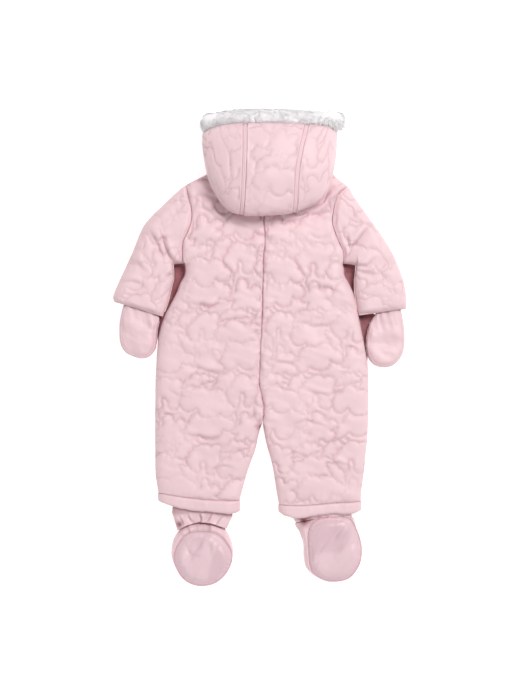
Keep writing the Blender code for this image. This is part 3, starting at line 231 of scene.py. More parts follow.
def curve(table, column, at):
    """Smooth value of one column of a table at positions along its first column."""
    rows = np.array(table, dtype=float)
    at = np.clip(np.asarray(at, dtype=float), rows[0, 0], rows[-1, 0])
    where, value = rows[:, 0], rows[:, column]
    slope = np.gradient(value, where)
    i = np.clip(np.searchsorted(where, at) - 1, 0, len(where) - 2)
    step = where[i + 1] - where[i]
    t = (at - where[i]) / step
    start = (1 + 2 * t) * (1 - t) ** 2 * value[i] + t * (1 - t) ** 2 * step * slope[i]
    end = t * t * (3 - 2 * t) * value[i + 1] + t * t * (t - 1) * step * slope[i + 1]
    return start + end


def closed_curve(points, count):
    """Smooth closed line through points of any size, resampled with count points."""
    points = np.array(points, dtype=float)
    size = len(points)
    at = np.arange(count) * size / count
    i = at.astype(int)
    t = (at - i)[:, None]
    before, start, end, after = (points[(i + k) % size] for k in (-1, 0, 1, 2))
    return 0.5 * (2 * start + (end - before) * t + (2 * before - 5 * start + 4 * end - after) * t ** 2
                  + (3 * start - before - 3 * end + after) * t ** 3)


def ease(low, high, at):
    """0 below low, 1 above high, smooth between."""
    t = np.clip((np.asarray(at, dtype=float) - low) / (high - low), 0.0, 1.0)
    return t * t * (3 - 2 * t)


def rounded(distance, reach):
    """Quarter-round profile of a wadded edge: 0 at the edge, 1 at the reach and beyond."""
    t = np.clip(np.asarray(distance, dtype=float) / reach, 0.0, 1.0)
    return np.sqrt(1 - (1 - t) ** 2)


def neck_y(x, depth_y):
    """Neck curve of the front or the back, down to depth_y at its middle."""
    return depth_y + (NECK_SIDE_Y - depth_y) * ((np.asarray(x) - NECK_MIDDLE) / NECK_HALF) ** 2


def top_y(x, depth_y, shoulder):
    """Upper pattern edge of a half: neck curve, then the shoulder's straight edge."""
    side = np.sign(shoulder[0])
    neck_x = NECK_MIDDLE + side * NECK_HALF
    along = (np.asarray(x) - neck_x) / (shoulder[0] - neck_x)
    return np.where(along > 0, NECK_SIDE_Y + (shoulder[1] - NECK_SIDE_Y) * along, neck_y(x, depth_y))


def body_side(table, y):
    """x of a half's side at heights of its pattern."""
    return curve(table, 1, y)


def body_fill(table, x, y, depth_y, shoulder, hem, inner_x):
    """0 to 1: how much of its full height the wadding has at a place of a body half."""
    side = np.sign(shoulder[0])
    to_side = side * (body_side(table, y) - x)
    to_inner = side * (x - inner_x)
    to_top = top_y(x, depth_y, shoulder) - y
    to_hem = y - curve(hem, 1, x)
    armhole = ease(*ARMED, y)
    joined = ease(*JOINED, y)
    at_side = rounded(to_side, ROLL) * (1 - armhole) + armhole * (
        1 - SEAM_DIP * (1 - rounded(to_side, SEAM_DIP_WIDTH)))
    at_inner = rounded(to_inner, ROLL) * (1 - joined) + joined * (
        1 - SEAM_DIP * (1 - rounded(to_inner, SEAM_DIP_WIDTH)))
    shoulder_part = ease(0.0, 14.0, side * (x - NECK_MIDDLE) - NECK_HALF + 6.0)
    at_top = 1 - shoulder_part * (1 - rounded(to_top, ROLL))
    at_hem = 1 - SEAM_DIP * (1 - rounded(to_hem, SEAM_DIP_WIDTH))
    return at_side * at_inner * at_top * at_hem


def hood_row(section):
    """All columns of the hood's table at a section number, which may lie between two rows."""
    numbered = tuple((float(i),) + row for i, row in enumerate(HOOD))
    return [curve(numbered, column, section) for column in range(1, 10)]


def hood_point(section, angle):
    """Place on the hood's outer side: section from neck to mouth, signed angle round the arch."""
    crown_y, crown_z, side_y, side_z, left_x, right_x, under_y, under_z, _ = hood_row(section)
    size = np.abs(angle)
    turn = np.radians(size)
    half = np.where(angle < 0, NECK_MIDDLE - left_x, right_x - NECK_MIDDLE)
    x = NECK_MIDDLE + np.sign(angle) * half * np.sin(turn)
    corner = np.where(angle < 0, curve(HOOD_CORNER, 1, size), curve(HOOD_CORNER, 2, size))
    neck = 1 - ease(0.0, 1.0, section)
    corner = corner * (1 - neck) + np.sin(turn) ** 2 * neck
    cosine = np.cos(turn)
    over = np.clip(cosine, 0.0, 1.0)
    under = np.clip(-cosine, 0.0, 1.0)
    back_y = crown_y + (side_y - crown_y) * corner
    y = np.where(cosine > 0, back_y, side_y + (under_y - side_y) * under ** (1 + neck))
    z = np.where(cosine > 0, side_z + (crown_z - side_z) * over ** 0.62,
                 side_z + (under_z - side_z) * under ** (0.55 + 0.45 * neck))
    return np.stack(np.broadcast_arrays(x, y, z), axis=-1)


def seam_angle(section, side):
    """Signed angle of the left or right hood seam at a section."""
    row = hood_row(section)
    half = NECK_MIDDLE - row[4] if side < 0 else row[5] - NECK_MIDDLE
    x = curve(HOOD_SEAMS, 1 if side < 0 else 2, section)
    return float(np.degrees(np.arcsin((x - NECK_MIDDLE) / half)))


def above_back(points):
    """Lifts the points that hang over the back clear of its outer side."""
    x, y, z = points[..., 0], points[..., 1], points[..., 2]
    shoulder = LEFT_SHOULDER if x.mean() < NECK_MIDDLE else RIGHT_SHOULDER
    over_back = (y < top_y(x, NECK_Y, shoulder) + OVER_BACK) & (z > MID)
    lifted = points.copy()
    lifted[..., 2] = np.where(over_back, np.maximum(z, TOP + HOOD_CLEAR), z)
    return lifted


def hood_sides(section, angle):
    """Outer and inner side of the hood's wall at a section and an angle."""
    def outside(section_shift, angle_shift):
        """Place on the outer side a little way off."""
        return hood_point(np.clip(section + section_shift, 0.0, len(HOOD) - 1.0), angle + angle_shift)
    along = outside(0.1, 0.0) - outside(-0.1, 0.0)
    across = outside(0.0, 2.0) - outside(0.0, -2.0)
    normal = np.cross(along, across)
    normal /= np.linalg.norm(normal, axis=-1, keepdims=True)
    outer = above_back(outside(0.0, 0.0))
    inner = outer + normal * HOOD_WALL
    return clear_of_neck(outer), clear_of_neck(inner)


def clear_of_neck(points):
    """Keeps what lies lower than the back's outer side just outside the neck hole's edge."""
    moved = points.copy()
    in_hole = (points[..., 2] < TOP) & (np.abs(points[..., 0] - NECK_MIDDLE) < NECK_HALF + 4.0)
    edge = neck_y(points[..., 0], NECK_Y) + NECK_CLEAR
    moved[..., 1] = np.where(in_hole, np.maximum(points[..., 1], edge), points[..., 1])
    return moved


def opening_angle(section):
    """Angle at which the hood ends beside the face opening."""
    return float(hood_row(section)[8])


def fur_route():
    """Sections and angles along the face opening, from the left front over the crown to the right."""
    sections = np.linspace(0.4, 9.0, 9)
    left = [(s, -opening_angle(s)) for s in sections]
    crown = [(9.0, a) for a in np.linspace(-opening_angle(9.0), opening_angle(9.0), 13)[1:-1]]
    return left + crown + [(s, -a) for s, a in left[::-1]]


# ---- noise and quilting --------------------------------------------------------------------------

GRID_STEP = 1.7        # spacing of the fine grids of quilted cloth
STITCH_STEP = 0.7      # spacing of the points along the stitch lines
QUILT_DEPTH = 3.9      # how far the stitches pull the cloth in
QUILT_REACH = 8.5      # how far from a stitch line a puff is full
PUCKER_DEPTH = 1.0     # the short puckers along the stitch lines
PUCKER_SIZE = 3.6


def noise(x, y, size, seed):
    """Smooth value noise from -1 to 1 with features of the given size."""
    lattice = np.random.RandomState(seed).uniform(-1, 1, (64, 64))
    x, y = np.asarray(x) / size, np.asarray(y) / size
    i, j = np.floor(x).astype(int), np.floor(y).astype(int)
    u, v = x - i, y - j
    u, v = u * u * (3 - 2 * u), v * v * (3 - 2 * v)
    a, b = lattice[i % 64, j % 64], lattice[(i + 1) % 64, j % 64]
    c, d = lattice[i % 64, (j + 1) % 64], lattice[(i + 1) % 64, (j + 1) % 64]
    return (a * (1 - u) + b * u) * (1 - v) + (c * (1 - u) + d * u) * v


# Outlines of the quilting, each a union of circles: x, y, radius.
CLOUD = ((-22, -3, 12), (-7, 5, 15), (13, 4, 14.5), (27, -4, 10), (4, -6, 14))
BLOCK = (
    (-15, 11, 9), (0, 9, 13), (15, 11, 9), (-13, -2, 11), (13, -2, 11), (-11, -14, 8), (12, -14, 8),
)
STAR = ((0, 0, 14), (1, 15, 8), (16, 3, 8), (10, -13, 8.5), (-11, -12, 8.5), (-15, 5, 8))
BEAN = ((-10, -1, 8), (0, 1, 9.5), (10, -1, 7))
LEAF = ((-19, -2, 3.5), (-12, 0, 6.5), (-2, 1.5, 9), (9, 0, 7.5), (18, -3, 4))
# One repeat of the quilting: outline, x, y, turn in degrees. Earlier ones lie over later ones.
REPEAT = (
    (BLOCK, 20.0, 24.0, -4.0),
    (CLOUD, 74.0, 10.0, -8.0),
    (LEAF, 64.0, 38.0, 14.0),
    (CLOUD, 24.0, 70.0, 10.0),
    (STAR, 78.0, 64.0, 18.0),
    (BEAN, 2.0, 48.0, -24.0),
    (LEAF, 52.0, 88.0, -66.0),
    (BEAN, 98.0, 36.0, 48.0),
)
REPEAT_WIDTH = 104.0
REPEAT_HEIGHT = 91.0
MOTIF_REACH = 75.0     # outlines whose middles are farther apart don't meet


def quilt_lines(reach_x, reach_y):
    """Points along the stitch lines over a rectangle about the origin."""
    motifs = []
    columns, rows = int(reach_x / REPEAT_WIDTH), int(reach_y / REPEAT_HEIGHT)
    for column in range(-columns - 2, columns + 2):
        for row in range(-rows - 2, rows + 2):
            for outline, x, y, turn in REPEAT:
                c, s = math.cos(math.radians(turn)), math.sin(math.radians(turn))
                x0 = x + column * REPEAT_WIDTH + (row % 2) * REPEAT_WIDTH / 2
                y0 = y + row * REPEAT_HEIGHT
                motifs.append(np.array([(x0 + c * a - s * b, y0 + s * a + c * b, r) for a, b, r in outline]))
    centres = np.array([m[:, :2].mean(axis=0) for m in motifs])
    points = []
    for k, circles in enumerate(motifs):
        near = np.where(np.hypot(*(centres[:k] - centres[k]).T) < MOTIF_REACH)[0]
        for n, (x, y, r) in enumerate(circles):
            turn = np.arange(0, 2 * math.pi, STITCH_STEP / r)
            ring = np.column_stack((x + r * np.cos(turn), y + r * np.sin(turn)))
            cover = np.vstack([np.delete(circles, n, axis=0)] + [motifs[m] for m in near])
            away = np.hypot(*(ring[:, None] - cover[None, :, :2]).transpose(2, 0, 1)) - cover[:, 2]
            points.append(ring[away.min(axis=1) > -0.05])
    return np.vstack(points)


class Quilt:
    """Distance to the stitch lines of the quilting, and the nearest place on them."""

    def __init__(self, reach_x, reach_y):
        self.points = quilt_lines(reach_x, reach_y)
        self.tree = kdtree.KDTree(len(self.points))
        for i, (x, y) in enumerate(self.points):
            self.tree.insert((x, y, 0.0), i)
        self.tree.balance()

    def at(self, u, v):
        """Distance and nearest place for each point of a sheet, with the pattern warped a little."""
        warped_u = u + 6.0 * noise(u, v, 50.0, 11) + 1.6 * noise(u, v, 15.0, 13)
        warped_v = v + 6.0 * noise(u, v, 50.0, 12) + 1.6 * noise(u, v, 15.0, 14)
        index = np.empty(u.size, dtype=int)
        distance = np.empty(u.size)
        find = self.tree.find
        for i, (a, b) in enumerate(zip(warped_u.ravel().tolist(), warped_v.ravel().tolist())):
            _, index[i], distance[i] = find((a, b, 0.0))
        return distance.reshape(u.shape), self.points[index].reshape(u.shape + (2,))


quilt = Quilt(330.0, 420.0)


def puff(u, v, seed):
    """Height of quilted cloth, lowest at the stitches and about 0 on the puffs, and the distance."""
    distance, place = quilt.at(u, v)
    round_top = rounded(distance, QUILT_REACH) * 0.62 + 0.38 * (1 - np.exp(-distance / 1.2))
    pulled = np.clip(noise(place[..., 0], place[..., 1], 26.0, seed + 5) * 0.75 + 0.85, 0.30, 1.5)
    height = QUILT_DEPTH * pulled * (round_top - 1) + 0.8 * noise(u, v, 30.0, seed + 6)
    ticks = noise(place[..., 0], place[..., 1], PUCKER_SIZE, seed) * np.exp(-distance / 4.5)
    ticks *= 1 - np.exp(-distance / 0.9)
    soft = noise(u + v, 1.6 * v, 15.0, seed + 1) * 0.62 + noise(u, v - u, 7.0, seed + 2) * 0.12
    soft += noise(0.6 * u + 0.3 * v, 1.4 * v, 30.0, seed + 3) * 1.5
    # The distance grows where the stitches pull less, so those lines take less painted shade.
    return height + PUCKER_DEPTH * ticks + soft, distance + 1.2 * (1 - np.clip(pulled, 0, 1))


def polyline_distance(x, y, line):
    """Distance of places to a line through points, above 0 on its left, and how far along each lies."""
    best = np.full(x.shape, 1e9)
    along = np.zeros(x.shape)
    left = np.ones(x.shape)
    count = len(line) - 1
    for k, ((x0, y0), (x1, y1)) in enumerate(zip(line[:-1], line[1:])):
        run = (x1 - x0) ** 2 + (y1 - y0) ** 2
        t = np.clip(((x - x0) * (x1 - x0) + (y - y0) * (y1 - y0)) / run, 0, 1)
        away = np.hypot(x - x0 - t * (x1 - x0), y - y0 - t * (y1 - y0))
        nearer = away < best
        best = np.where(nearer, away, best)
        along = np.where(nearer, (k + t) / count, along)
        left = np.where(nearer, np.sign((x1 - x0) * (y - y0) - (y1 - y0) * (x - x0)), left)
    return best * left, along


def creases(x, y, table):
    """Height and painted shade of the listed folds: cloth rolls over each line from its left."""
    height, tone = np.zeros(x.shape), np.zeros(x.shape)
    for width, depth, line in table:
        away, along = polyline_distance(x, y, line)
        away = away + 0.5 * width * noise(x, y, 9.0, 61)
        taper = np.sin(np.pi * np.clip(along * 0.90 + 0.05, 0, 1)) ** 0.8
        trough = np.where(away > 0, np.exp(-(away / (0.9 * width)) ** 2), np.exp(away / (2.4 * width)))
        roll = np.exp(-((away - 2.4 * width) / (1.5 * width)) ** 2)
        height += depth * taper * (0.40 * roll - 0.85 * trough)
        # Painted shade along each fold's trough.
        tone += 0.035 * depth * taper * np.exp(-((away - 0.3 * width) / (0.55 * width)) ** 2)
    return height, tone


# Folds of the back: half width, depth, then the line's points.
BACK_CREASES = (
    (2.6, 3.4, ((-106, 57), (-90, 53), (-75, 51.5), (-58, 54), (-43, 59))),
    (2.6, 3, ((-103, -29), (-90, -33.5), (-80, -38), (-66, -40.5), (-50, -41))),
    (2.4, 2.6, ((-106, -125.5), (-92, -129), (-78, -131), (-62, -131))),
    (3, 4.6, ((-88, 203), (-76, 203), (-64, 199), (-56, 188), (-52, 178))),
    (2.4, 2.2, ((-92, 188), (-80, 186), (-68, 178), (-60, 170))),
    (2.2, 2, ((-48, 168), (-32, 166), (-18, 160))),
    (3, 4.6, ((98, 218), (92, 210), (86, 200), (74, 190), (62, 182))),
    (2.4, 2.2, ((98, 196), (88, 188), (76, 178), (66, 172))),
    (2.2, 2, ((26, 172), (38, 168), (54, 170))), (2.4, 2.2, ((66, 76), (80, 78), (94, 76), (106, 70))),
    (2.4, 2.2, ((52, 28), (68, 24), (84, 22), (98, 26))),
    (2.4, 2.2, ((10, -20), (24, -27), (40, -28), (52, -22))),
    (2.4, 2.4, ((60, -64), (76, -70), (92, -72), (106, -66))),
    (2.6, 2.8, ((-12, -82), (-14, -92), (-12, -101), (-7, -107))),
    (2.2, 2, ((-140, -96), (-126, -100), (-110, -97))),
    (2.2, 2, ((-131, -64), (-118, -72), (-104, -74))),
    (2.4, 2.2, ((44, -112), (60, -108), (76, -111), (88, -117))),
    (2.2, 2, ((30, -158), (44, -152), (60, -156))), (2.2, 2.2, ((-70, -176), (-56, -170), (-42, -173))),
    (2.2, 2, ((90, -170), (104, -166), (120, -170))),
)
# Painted shadows of the back: x, y, reach, amount of painted shade.
BACK_SHADOWS = (
    (-2.5, -115.5, 4.2, 1), (-4.5, -107, 3, 0.25), (-80, 207, 10, 0.1), (92, 212, 12, 0.12),
    (-48, 184, 8, 0.1), (58, 186, 8, 0.08),
)
LEFT_SLEEVE_CREASES = (
    (3, 4.2, ((-139, 146), (-137, 136), (-134, 125), (-127, 115), (-121, 111))),
    (2.4, 2.6, ((-144, 139), (-140, 145), (-133, 147))),
    (2.8, 2.6, ((-156, 156), (-149, 143), (-144, 129), (-139, 118))),
    (2.6, 3.2, ((-127, 111), (-118, 109.5), (-112, 110))),
    (2.4, 2.6, ((-134, 92), (-124, 97), (-116, 103))),
    (2.4, 2.2, ((-114, 138), (-115, 126), (-117, 114))),
    (2.8, 2, ((-190, 112), (-176, 110), (-162, 100))), (2.8, 1.8, ((-196, 84), (-180, 86), (-164, 78))),
)
RIGHT_SLEEVE_CREASES = (
    (3, 4.2, ((121, 112), (120.5, 122), (126, 132), (134, 144), (142, 154), (148, 162))),
    (2.4, 2.4, ((116, 150), (118, 136), (120, 126))),
    (2.6, 3.2, ((124, 108), (136, 106.5), (146, 108), (154, 115))),
    (2.6, 2.4, ((132, 100), (146, 97), (164, 96))), (2.8, 2, ((184, 118), (170, 112), (158, 100))),
    (2.8, 1.8, ((196, 88), (180, 84), (164, 88))),
)

# ---- meshes --------------------------------------------------------------------------------------

CROWD = 0.3            # how much closer together the columns of a grid lie at its edges


def spread(marks, step):
    """Values through marks in increasing or decreasing order, no further apart than a step."""
    values = [marks[0]]
    for a, b in zip(marks[:-1], marks[1:]):
        count = max(1, int(math.ceil(abs(b - a) / step)))
        values += [a + (b - a) * (k + 1) / count for k in range(count)]
    return np.array(values)


def even(length, step):
    """Parts from 0 to 1 of a length, closer together at both ends."""
    count = max(2, int(math.ceil(length / step)))
    t = np.linspace(0, 1, count + 1)
    return t * (1 - CROWD) + CROWD * (0.5 - 0.5 * np.cos(np.pi * t))


def make(name, vertices, faces, shade, tone=None):
    """Smooth-shaded piece from vertices in millimetres of the tables' frame, with painted shade at each."""
    points = (np.asarray(vertices, dtype=float) + (SHIFT_X, SHIFT_Y, 0.0)) * MM
    mesh = bpy.data.meshes.new(name)
    mesh.from_pydata(points.tolist(), [], [tuple(f) for f in faces])
    mesh.materials.append(shade)
    if tone is not None:
        # Painted shade: how far each point's colour goes towards its material's painted shade colour.
        layer = mesh.attributes.new("painted_shade", "FLOAT", "POINT")
        layer.data.foreach_set("value", np.clip(tone, 0, 1).astype(np.float32))
    mesh.shade_smooth()
    piece = bpy.data.objects.new(name, mesh)
    bpy.context.scene.collection.objects.link(piece)
    return piece


def quads(rows, columns, start=0, closed=False, turn=False):
    """Faces of a grid of points numbered row by row."""
    r = np.arange(rows - 1)[:, None]
    c = np.arange(columns if closed else columns - 1)[None]
    d = (c + 1) % columns
    a, b = r * columns + c, r * columns + d
    face = np.stack((a, b, b + columns, a + columns), axis=-1).reshape(-1, 4) + start
    return (face[:, ::-1] if turn else face).tolist()


def outward(vertices, faces):
    """The faces, turned round if the body they close is inside out."""
    v = np.asarray(vertices, dtype=float)
    volume = 0.0
    four = np.array([f for f in faces if len(f) == 4])
    three = np.array([f for f in faces if len(f) == 3])
    for group in (four[:, [0, 1, 2]], four[:, [0, 2, 3]]) + ((three,) if len(three) else ()):
        volume += np.sum(v[group[:, 0]] * np.cross(v[group[:, 1]], v[group[:, 2]]))
    return faces if volume > 0 else [f[::-1] for f in faces]


def wall_piece(name, outer, inner, border, closed, shade, tone, inner_shade):
    """Closed wall between two grids or stacks of rings of the same size, sewn up along pairs of points."""
    rows, columns = outer.shape[:2]
    count = rows * columns
    vertices = np.vstack((outer.reshape(-1, 3), inner.reshape(-1, 3)))
    faces = quads(rows, columns, closed=closed) + quads(rows, columns, count, closed=closed, turn=True)
    faces += [(b, a, count + a, count + b) for a, b in border]
    # Painted shade: the outer side's amount at each point, and the inner side's, one amount or one for each
    # point.
    if tone is not None:
        tone = np.concatenate((tone.ravel(), np.full(count, inner_shade)))
    return make(name, vertices, outward(vertices, faces), shade, tone)


def slab_piece(name, upper, lower, shade, tone=None, lower_shade=0.0):
    """Closed wall between two grids of the same size."""
    rows, columns = upper.shape[:2]
    border = list(range(columns))
    border += [r * columns + columns - 1 for r in range(1, rows)]
    border += [(rows - 1) * columns + c for c in range(columns - 2, -1, -1)]
    border += [r * columns for r in range(rows - 2, 0, -1)]
    border = zip(border, border[1:] + border[:1])
    return wall_piece(name, upper, lower, border, False, shade, tone, lower_shade)


def tube_piece(name, outer, inner, shade, tone, inner_shade):
    """Closed wall between two stacks of rings, open at both ends."""
    rings, around = outer.shape[:2]
    last = (rings - 1) * around
    border = []
    for c in range(around):
        d = (c + 1) % around
        border += [(c, d), (last + d, last + c)]
    return wall_piece(name, outer, inner, border, True, shade, tone, inner_shade)


def pad_piece(name, rings, shade, tone=None):
    """Closed pad: rings from one middle point over the edge to the other middle point."""
    count, around = rings.shape[:2]
    vertices = np.vstack((rings.reshape(-1, 3), rings[0].mean(axis=0), rings[-1].mean(axis=0)))
    if tone is not None:
        tone = np.concatenate((tone.ravel(), (0.0, 0.0)))
    faces = outward(vertices, quads(count, around, closed=True) + caps(count, around))
    return make(name, vertices, faces, shade, tone)


def caps(count, around):
    """Faces from the first and the last of a stack of rings to the two points numbered after them."""
    faces = []
    for c in range(around):
        d = (c + 1) % around
        faces.append((d, c, count * around))
        faces.append(((count - 1) * around + c, (count - 1) * around + d, count * around + 1))
    return faces


# ---- materials -----------------------------------------------------------------------------------


def new_material(name):
    """New node material: itself, its nodes and links, its shader's inputs and the object coordinates."""
    shade = bpy.data.materials.new(name)
    shade.use_nodes = True
    nodes, links = shade.node_tree.nodes, shade.node_tree.links
    place = nodes.new("ShaderNodeTexCoord").outputs["Object"]
    return shade, nodes, links, nodes["Principled BSDF"].inputs, place


def node_with(nodes, links, kind, linked, constants=()):
    """New node of a kind, with links into its inputs and constants set on the others."""
    node = nodes.new(kind)
    for key, source in linked:
        links.new(source, node.inputs[key])
    for key, value in constants:
        node.inputs[key].default_value = value
    return node


def noise_texture(nodes, links, place, scale, detail=2.0):
    """Fine noise over the object."""
    sizes = [("Scale", scale), ("Detail", detail)]
    return node_with(nodes, links, "ShaderNodeTexNoise", [("Vector", place)], sizes).outputs["Fac"]


def two_tones(nodes, links, factor, dark, light, low=0.0, high=1.0):
    """Colour between two tones."""
    node = node_with(nodes, links, "ShaderNodeValToRGB", [("Fac", factor)])
    for stop, spot, colour in zip(node.color_ramp.elements, (low, high), (dark, light)):
        stop.position = spot
        stop.color = (*colour, 1)
    return node.outputs["Color"]


def between(nodes, links, factor, low, high):
    """Value from low to high."""
    limits = [("To Min", low), ("To Max", high)]
    return node_with(nodes, links, "ShaderNodeMapRange", [("Value", factor)], limits).outputs["Result"]


def total(nodes, links, first, second):
    """Sum of two values."""
    node = node_with(nodes, links, "ShaderNodeMath", [(0, first), (1, second)])
    node.operation = "ADD"
    return node.outputs[0]


def cloth_material(name, light, deep, roughness, sheen, weave):
    """Satin-woven nylon: two close tones in soft patches, a fine weave, and painted shade mixed towards
    deep.
    """
    shade, nodes, links, shader, place = new_material(name)
    patches = noise_texture(nodes, links, place, 22.0, 3.0)
    tones = two_tones(nodes, links, patches, [c * 0.965 for c in light], light, 0.35, 0.65)
    # Painted shade: each point's painted shade amount mixes the colour towards deep, the painted shade
    # colour.
    painted_shade = nodes.new("ShaderNodeAttribute")
    painted_shade.attribute_name = "painted_shade"
    mix = nodes.new("ShaderNodeMix")
    mix.data_type = "RGBA"
    links.new(painted_shade.outputs["Fac"], mix.inputs[0])
    links.new(tones, mix.inputs[6])
    mix.inputs[7].default_value = (*deep, 1)
    links.new(mix.outputs[2], shader["Base Color"])
    threads = []
    for direction, scale in (("X", weave), ("Y", weave * 0.8)):
        thread = node_with(nodes, links, "ShaderNodeTexWave", [("Vector", place)], [("Scale", scale)])
        thread.bands_direction = direction
        threads.append(thread.outputs["Fac"])
    relief = total(nodes, links, total(nodes, links, *threads), noise_texture(nodes, links, place, 900.0))
    strength = [("Strength", 0.12), ("Distance", 0.0002)]
    bump = node_with(nodes, links, "ShaderNodeBump", [("Height", relief)], strength)
    links.new(bump.outputs["Normal"], shader["Normal"])
    links.new(between(nodes, links, patches, roughness - 0.05, roughness + 0.06), shader["Roughness"])
    shader["Sheen Weight"].default_value = sheen
    shader["Sheen Roughness"].default_value = 0.35
    shader["Sheen Tint"].default_value = (1.0, 0.92, 0.94, 1)
    shader["Specular IOR Level"].default_value = 0.4
    return shade


def fur_material():
    """White artificial fur with a trace of pink."""
    shade, nodes, links, shader, place = new_material("fur_look")
    tufts = noise_texture(nodes, links, place, 55.0, 4.0)
    tones = two_tones(nodes, links, tufts, (0.985, 0.95, 0.97), (1.0, 0.975, 0.99), 0.3, 0.6)
    links.new(tones, shader["Base Color"])
    shader["Roughness"].default_value = 0.7
    shader["Specular IOR Level"].default_value = 0.2
    shader["Sheen Weight"].default_value = 0.9
    shader["Sheen Roughness"].default_value = 0.6
    return shade


def metal_material():
    """Nickel-plated zip metal with fine wear."""
    shade, nodes, links, shader, place = new_material("zip_metal_look")
    wear = noise_texture(nodes, links, place, 400.0, 5.0)
    links.new(between(nodes, links, wear, 0.18, 0.42), shader["Roughness"])
    links.new(two_tones(nodes, links, wear, (0.62, 0.60, 0.60), (0.78, 0.76, 0.76)), shader["Base Color"])
    shader["Metallic"].default_value = 1.0
    return shade


# Each cloth's second colour is its painted shade colour; the tape takes no painted shade.
QUILTED = cloth_material("quilted_look", (0.865, 0.632, 0.664), (0.30, 0.10, 0.115), 0.52, 0.06, 260.0)
PLAIN = cloth_material("plain_look", (0.86, 0.625, 0.660), (0.30, 0.10, 0.12), 0.50, 0.06, 260.0)
SOLE = cloth_material("sole_look", (0.815, 0.590, 0.640), (0.42, 0.20, 0.25), 0.36, 0.05, 220.0)
TAPE = cloth_material("tape_look", (0.80, 0.60, 0.63), (0.66, 0.42, 0.46), 0.7, 0.1, 500.0)
FUR = fur_material()
METAL = metal_material()


def settle(node, piece):
    """Puts a piece in place of its CAD node, on the suit's body."""
    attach(piece, "suit")
    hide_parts(node)


def hollow_shade(height):
    """How much painted shade a hollow takes, deeper and pinker as the cloth around it colours its light."""
    return 0.035 * np.clip(-height / QUILT_DEPTH, 0, 1.5)


def stitch_shade(distance):
    """How much painted shade a stitched furrow takes, with the thread's own darker colour on the line."""
    return 0.21 * np.exp(-(distance / 0.85) ** 2) + 0.04 * np.exp(-distance / 3.0)


# ---- the body's two layers -----------------------------------------------------------------------

LEDGE_UNDER = 1.8      # how far the front layer reaches under the underarm
LEDGE_DROP = 8.0       # how far it lies below the side seams
LEDGE_LOW = (-2.0, -27.0)      # lower end of the front layer seen beside the left and the right mitten
LOWER_MARKS = (-217.0, -213.5, -205.0, -160.0, -98.0, 104.0)   # rows of the grids below the armholes


def ledge(side, y, body_x, sleeve, mitten):
    """How far the front layer reaches past the back, up to the sleeve and the mitten beside it."""
    hem_y = sleeve[-1][3]
    heart = sum(x for x, _ in mitten) / len(mitten)
    bank = sorted((b, a) for a, b in mitten if side * (heart - a) > 6.0 and b < hem_y - 1.0)
    bank += [(hem_y + 3.0, bank[-1][1] + side * 4.0)]
    bank += sorted((row[3] + (LEDGE_UNDER if row[3] > 105.0 else 0.0), row[2])
                   for row in sleeve if row[3] > hem_y + 4.0)
    reach = side * (np.interp(y, [row[0] for row in bank], [row[1] for row in bank]) - body_x) - 0.08
    low = LEDGE_LOW[0 if side < 0 else 1]
    return np.maximum(reach, 0.0) * ease(low, low + 12.0, y) * (y < sleeve[0][3] + LEDGE_UNDER)


def fine_plan(table, extra, armhole, hem, zip_edge, step):
    """Plan of a body half as a fine grid of x and y, from its inner seam to its side."""
    full = table + armhole
    underarm_y, (shoulder_y, shoulder_x) = armhole[0][0], armhole[-1]
    shoulder = (shoulder_x, shoulder_y)
    side = np.sign(shoulder_x)
    column = 1 if side < 0 else 2
    top_inner = float(neck_y(side * ZIP_HALF_GAP if zip_edge else INNER_EDGE[-1][column], NECK_Y))
    lower, start = spread(LOWER_MARKS, step), LOWER_MARKS[-1]
    count = int((shoulder_y - start) / step)
    part = np.arange(1, count) / (count - 1)
    to_underarm = start + (underarm_y - start) * part / UPPER_START
    to_shoulder = underarm_y + (shoulder_y - underarm_y) * (part - UPPER_START) / (1 - UPPER_START)
    y_side = np.concatenate((lower, np.where(part < UPPER_START, to_underarm, to_shoulder)))
    y_inner = np.concatenate((lower, start + (top_inner - start) * part))
    x_side = body_side(full, y_side)
    if extra:
        x_side = x_side + side * ledge(side, y_side, x_side, *extra)
    x_inner = curve(INNER_EDGE, column, y_inner) + side * 0.03
    if zip_edge:
        to_zip = ease(ZIP_LOW, ZIP_HIGH, y_inner)
        x_inner = x_inner * (1 - to_zip) + (ZIP_X + side * ZIP_HALF_GAP) * to_zip
    else:
        x_inner = x_inner + 0.45 * noise(y_inner, 0 * y_inner, 4.5, 91) * ease(-116.0, -100.0, y_inner)
    chord = even(150.0, step)[None]
    x = x_inner[:, None] + (x_side - x_inner)[:, None] * chord
    y = y_inner[:, None] + (y_side - y_inner)[:, None] * chord
    inner_top = top_y(x_inner, NECK_Y, shoulder)[:, None]
    side_top = top_y(x_side, NECK_Y, shoulder)[:, None]
    lift = ease(125.0, shoulder_y, y_side)[:, None]
    y = y + lift * (top_y(x, NECK_Y, shoulder) - inner_top - (side_top - inner_top) * chord)
    sink = 1 - ease(LOWER_MARKS[0], -165.0, y_side)[:, None]
    y = y + sink * (curve(hem, 1, x) + SEAM_GAP - LOWER_MARKS[0])
    return full, shoulder, x, y, x_inner[:, None] * np.ones_like(x)


def seam_puckers(distance, along, reach, seed):
    """Short wrinkles that run away from a seam."""
    return 0.8 * noise(along, distance * 0.25, 4.2, seed) * np.exp(-distance / reach)


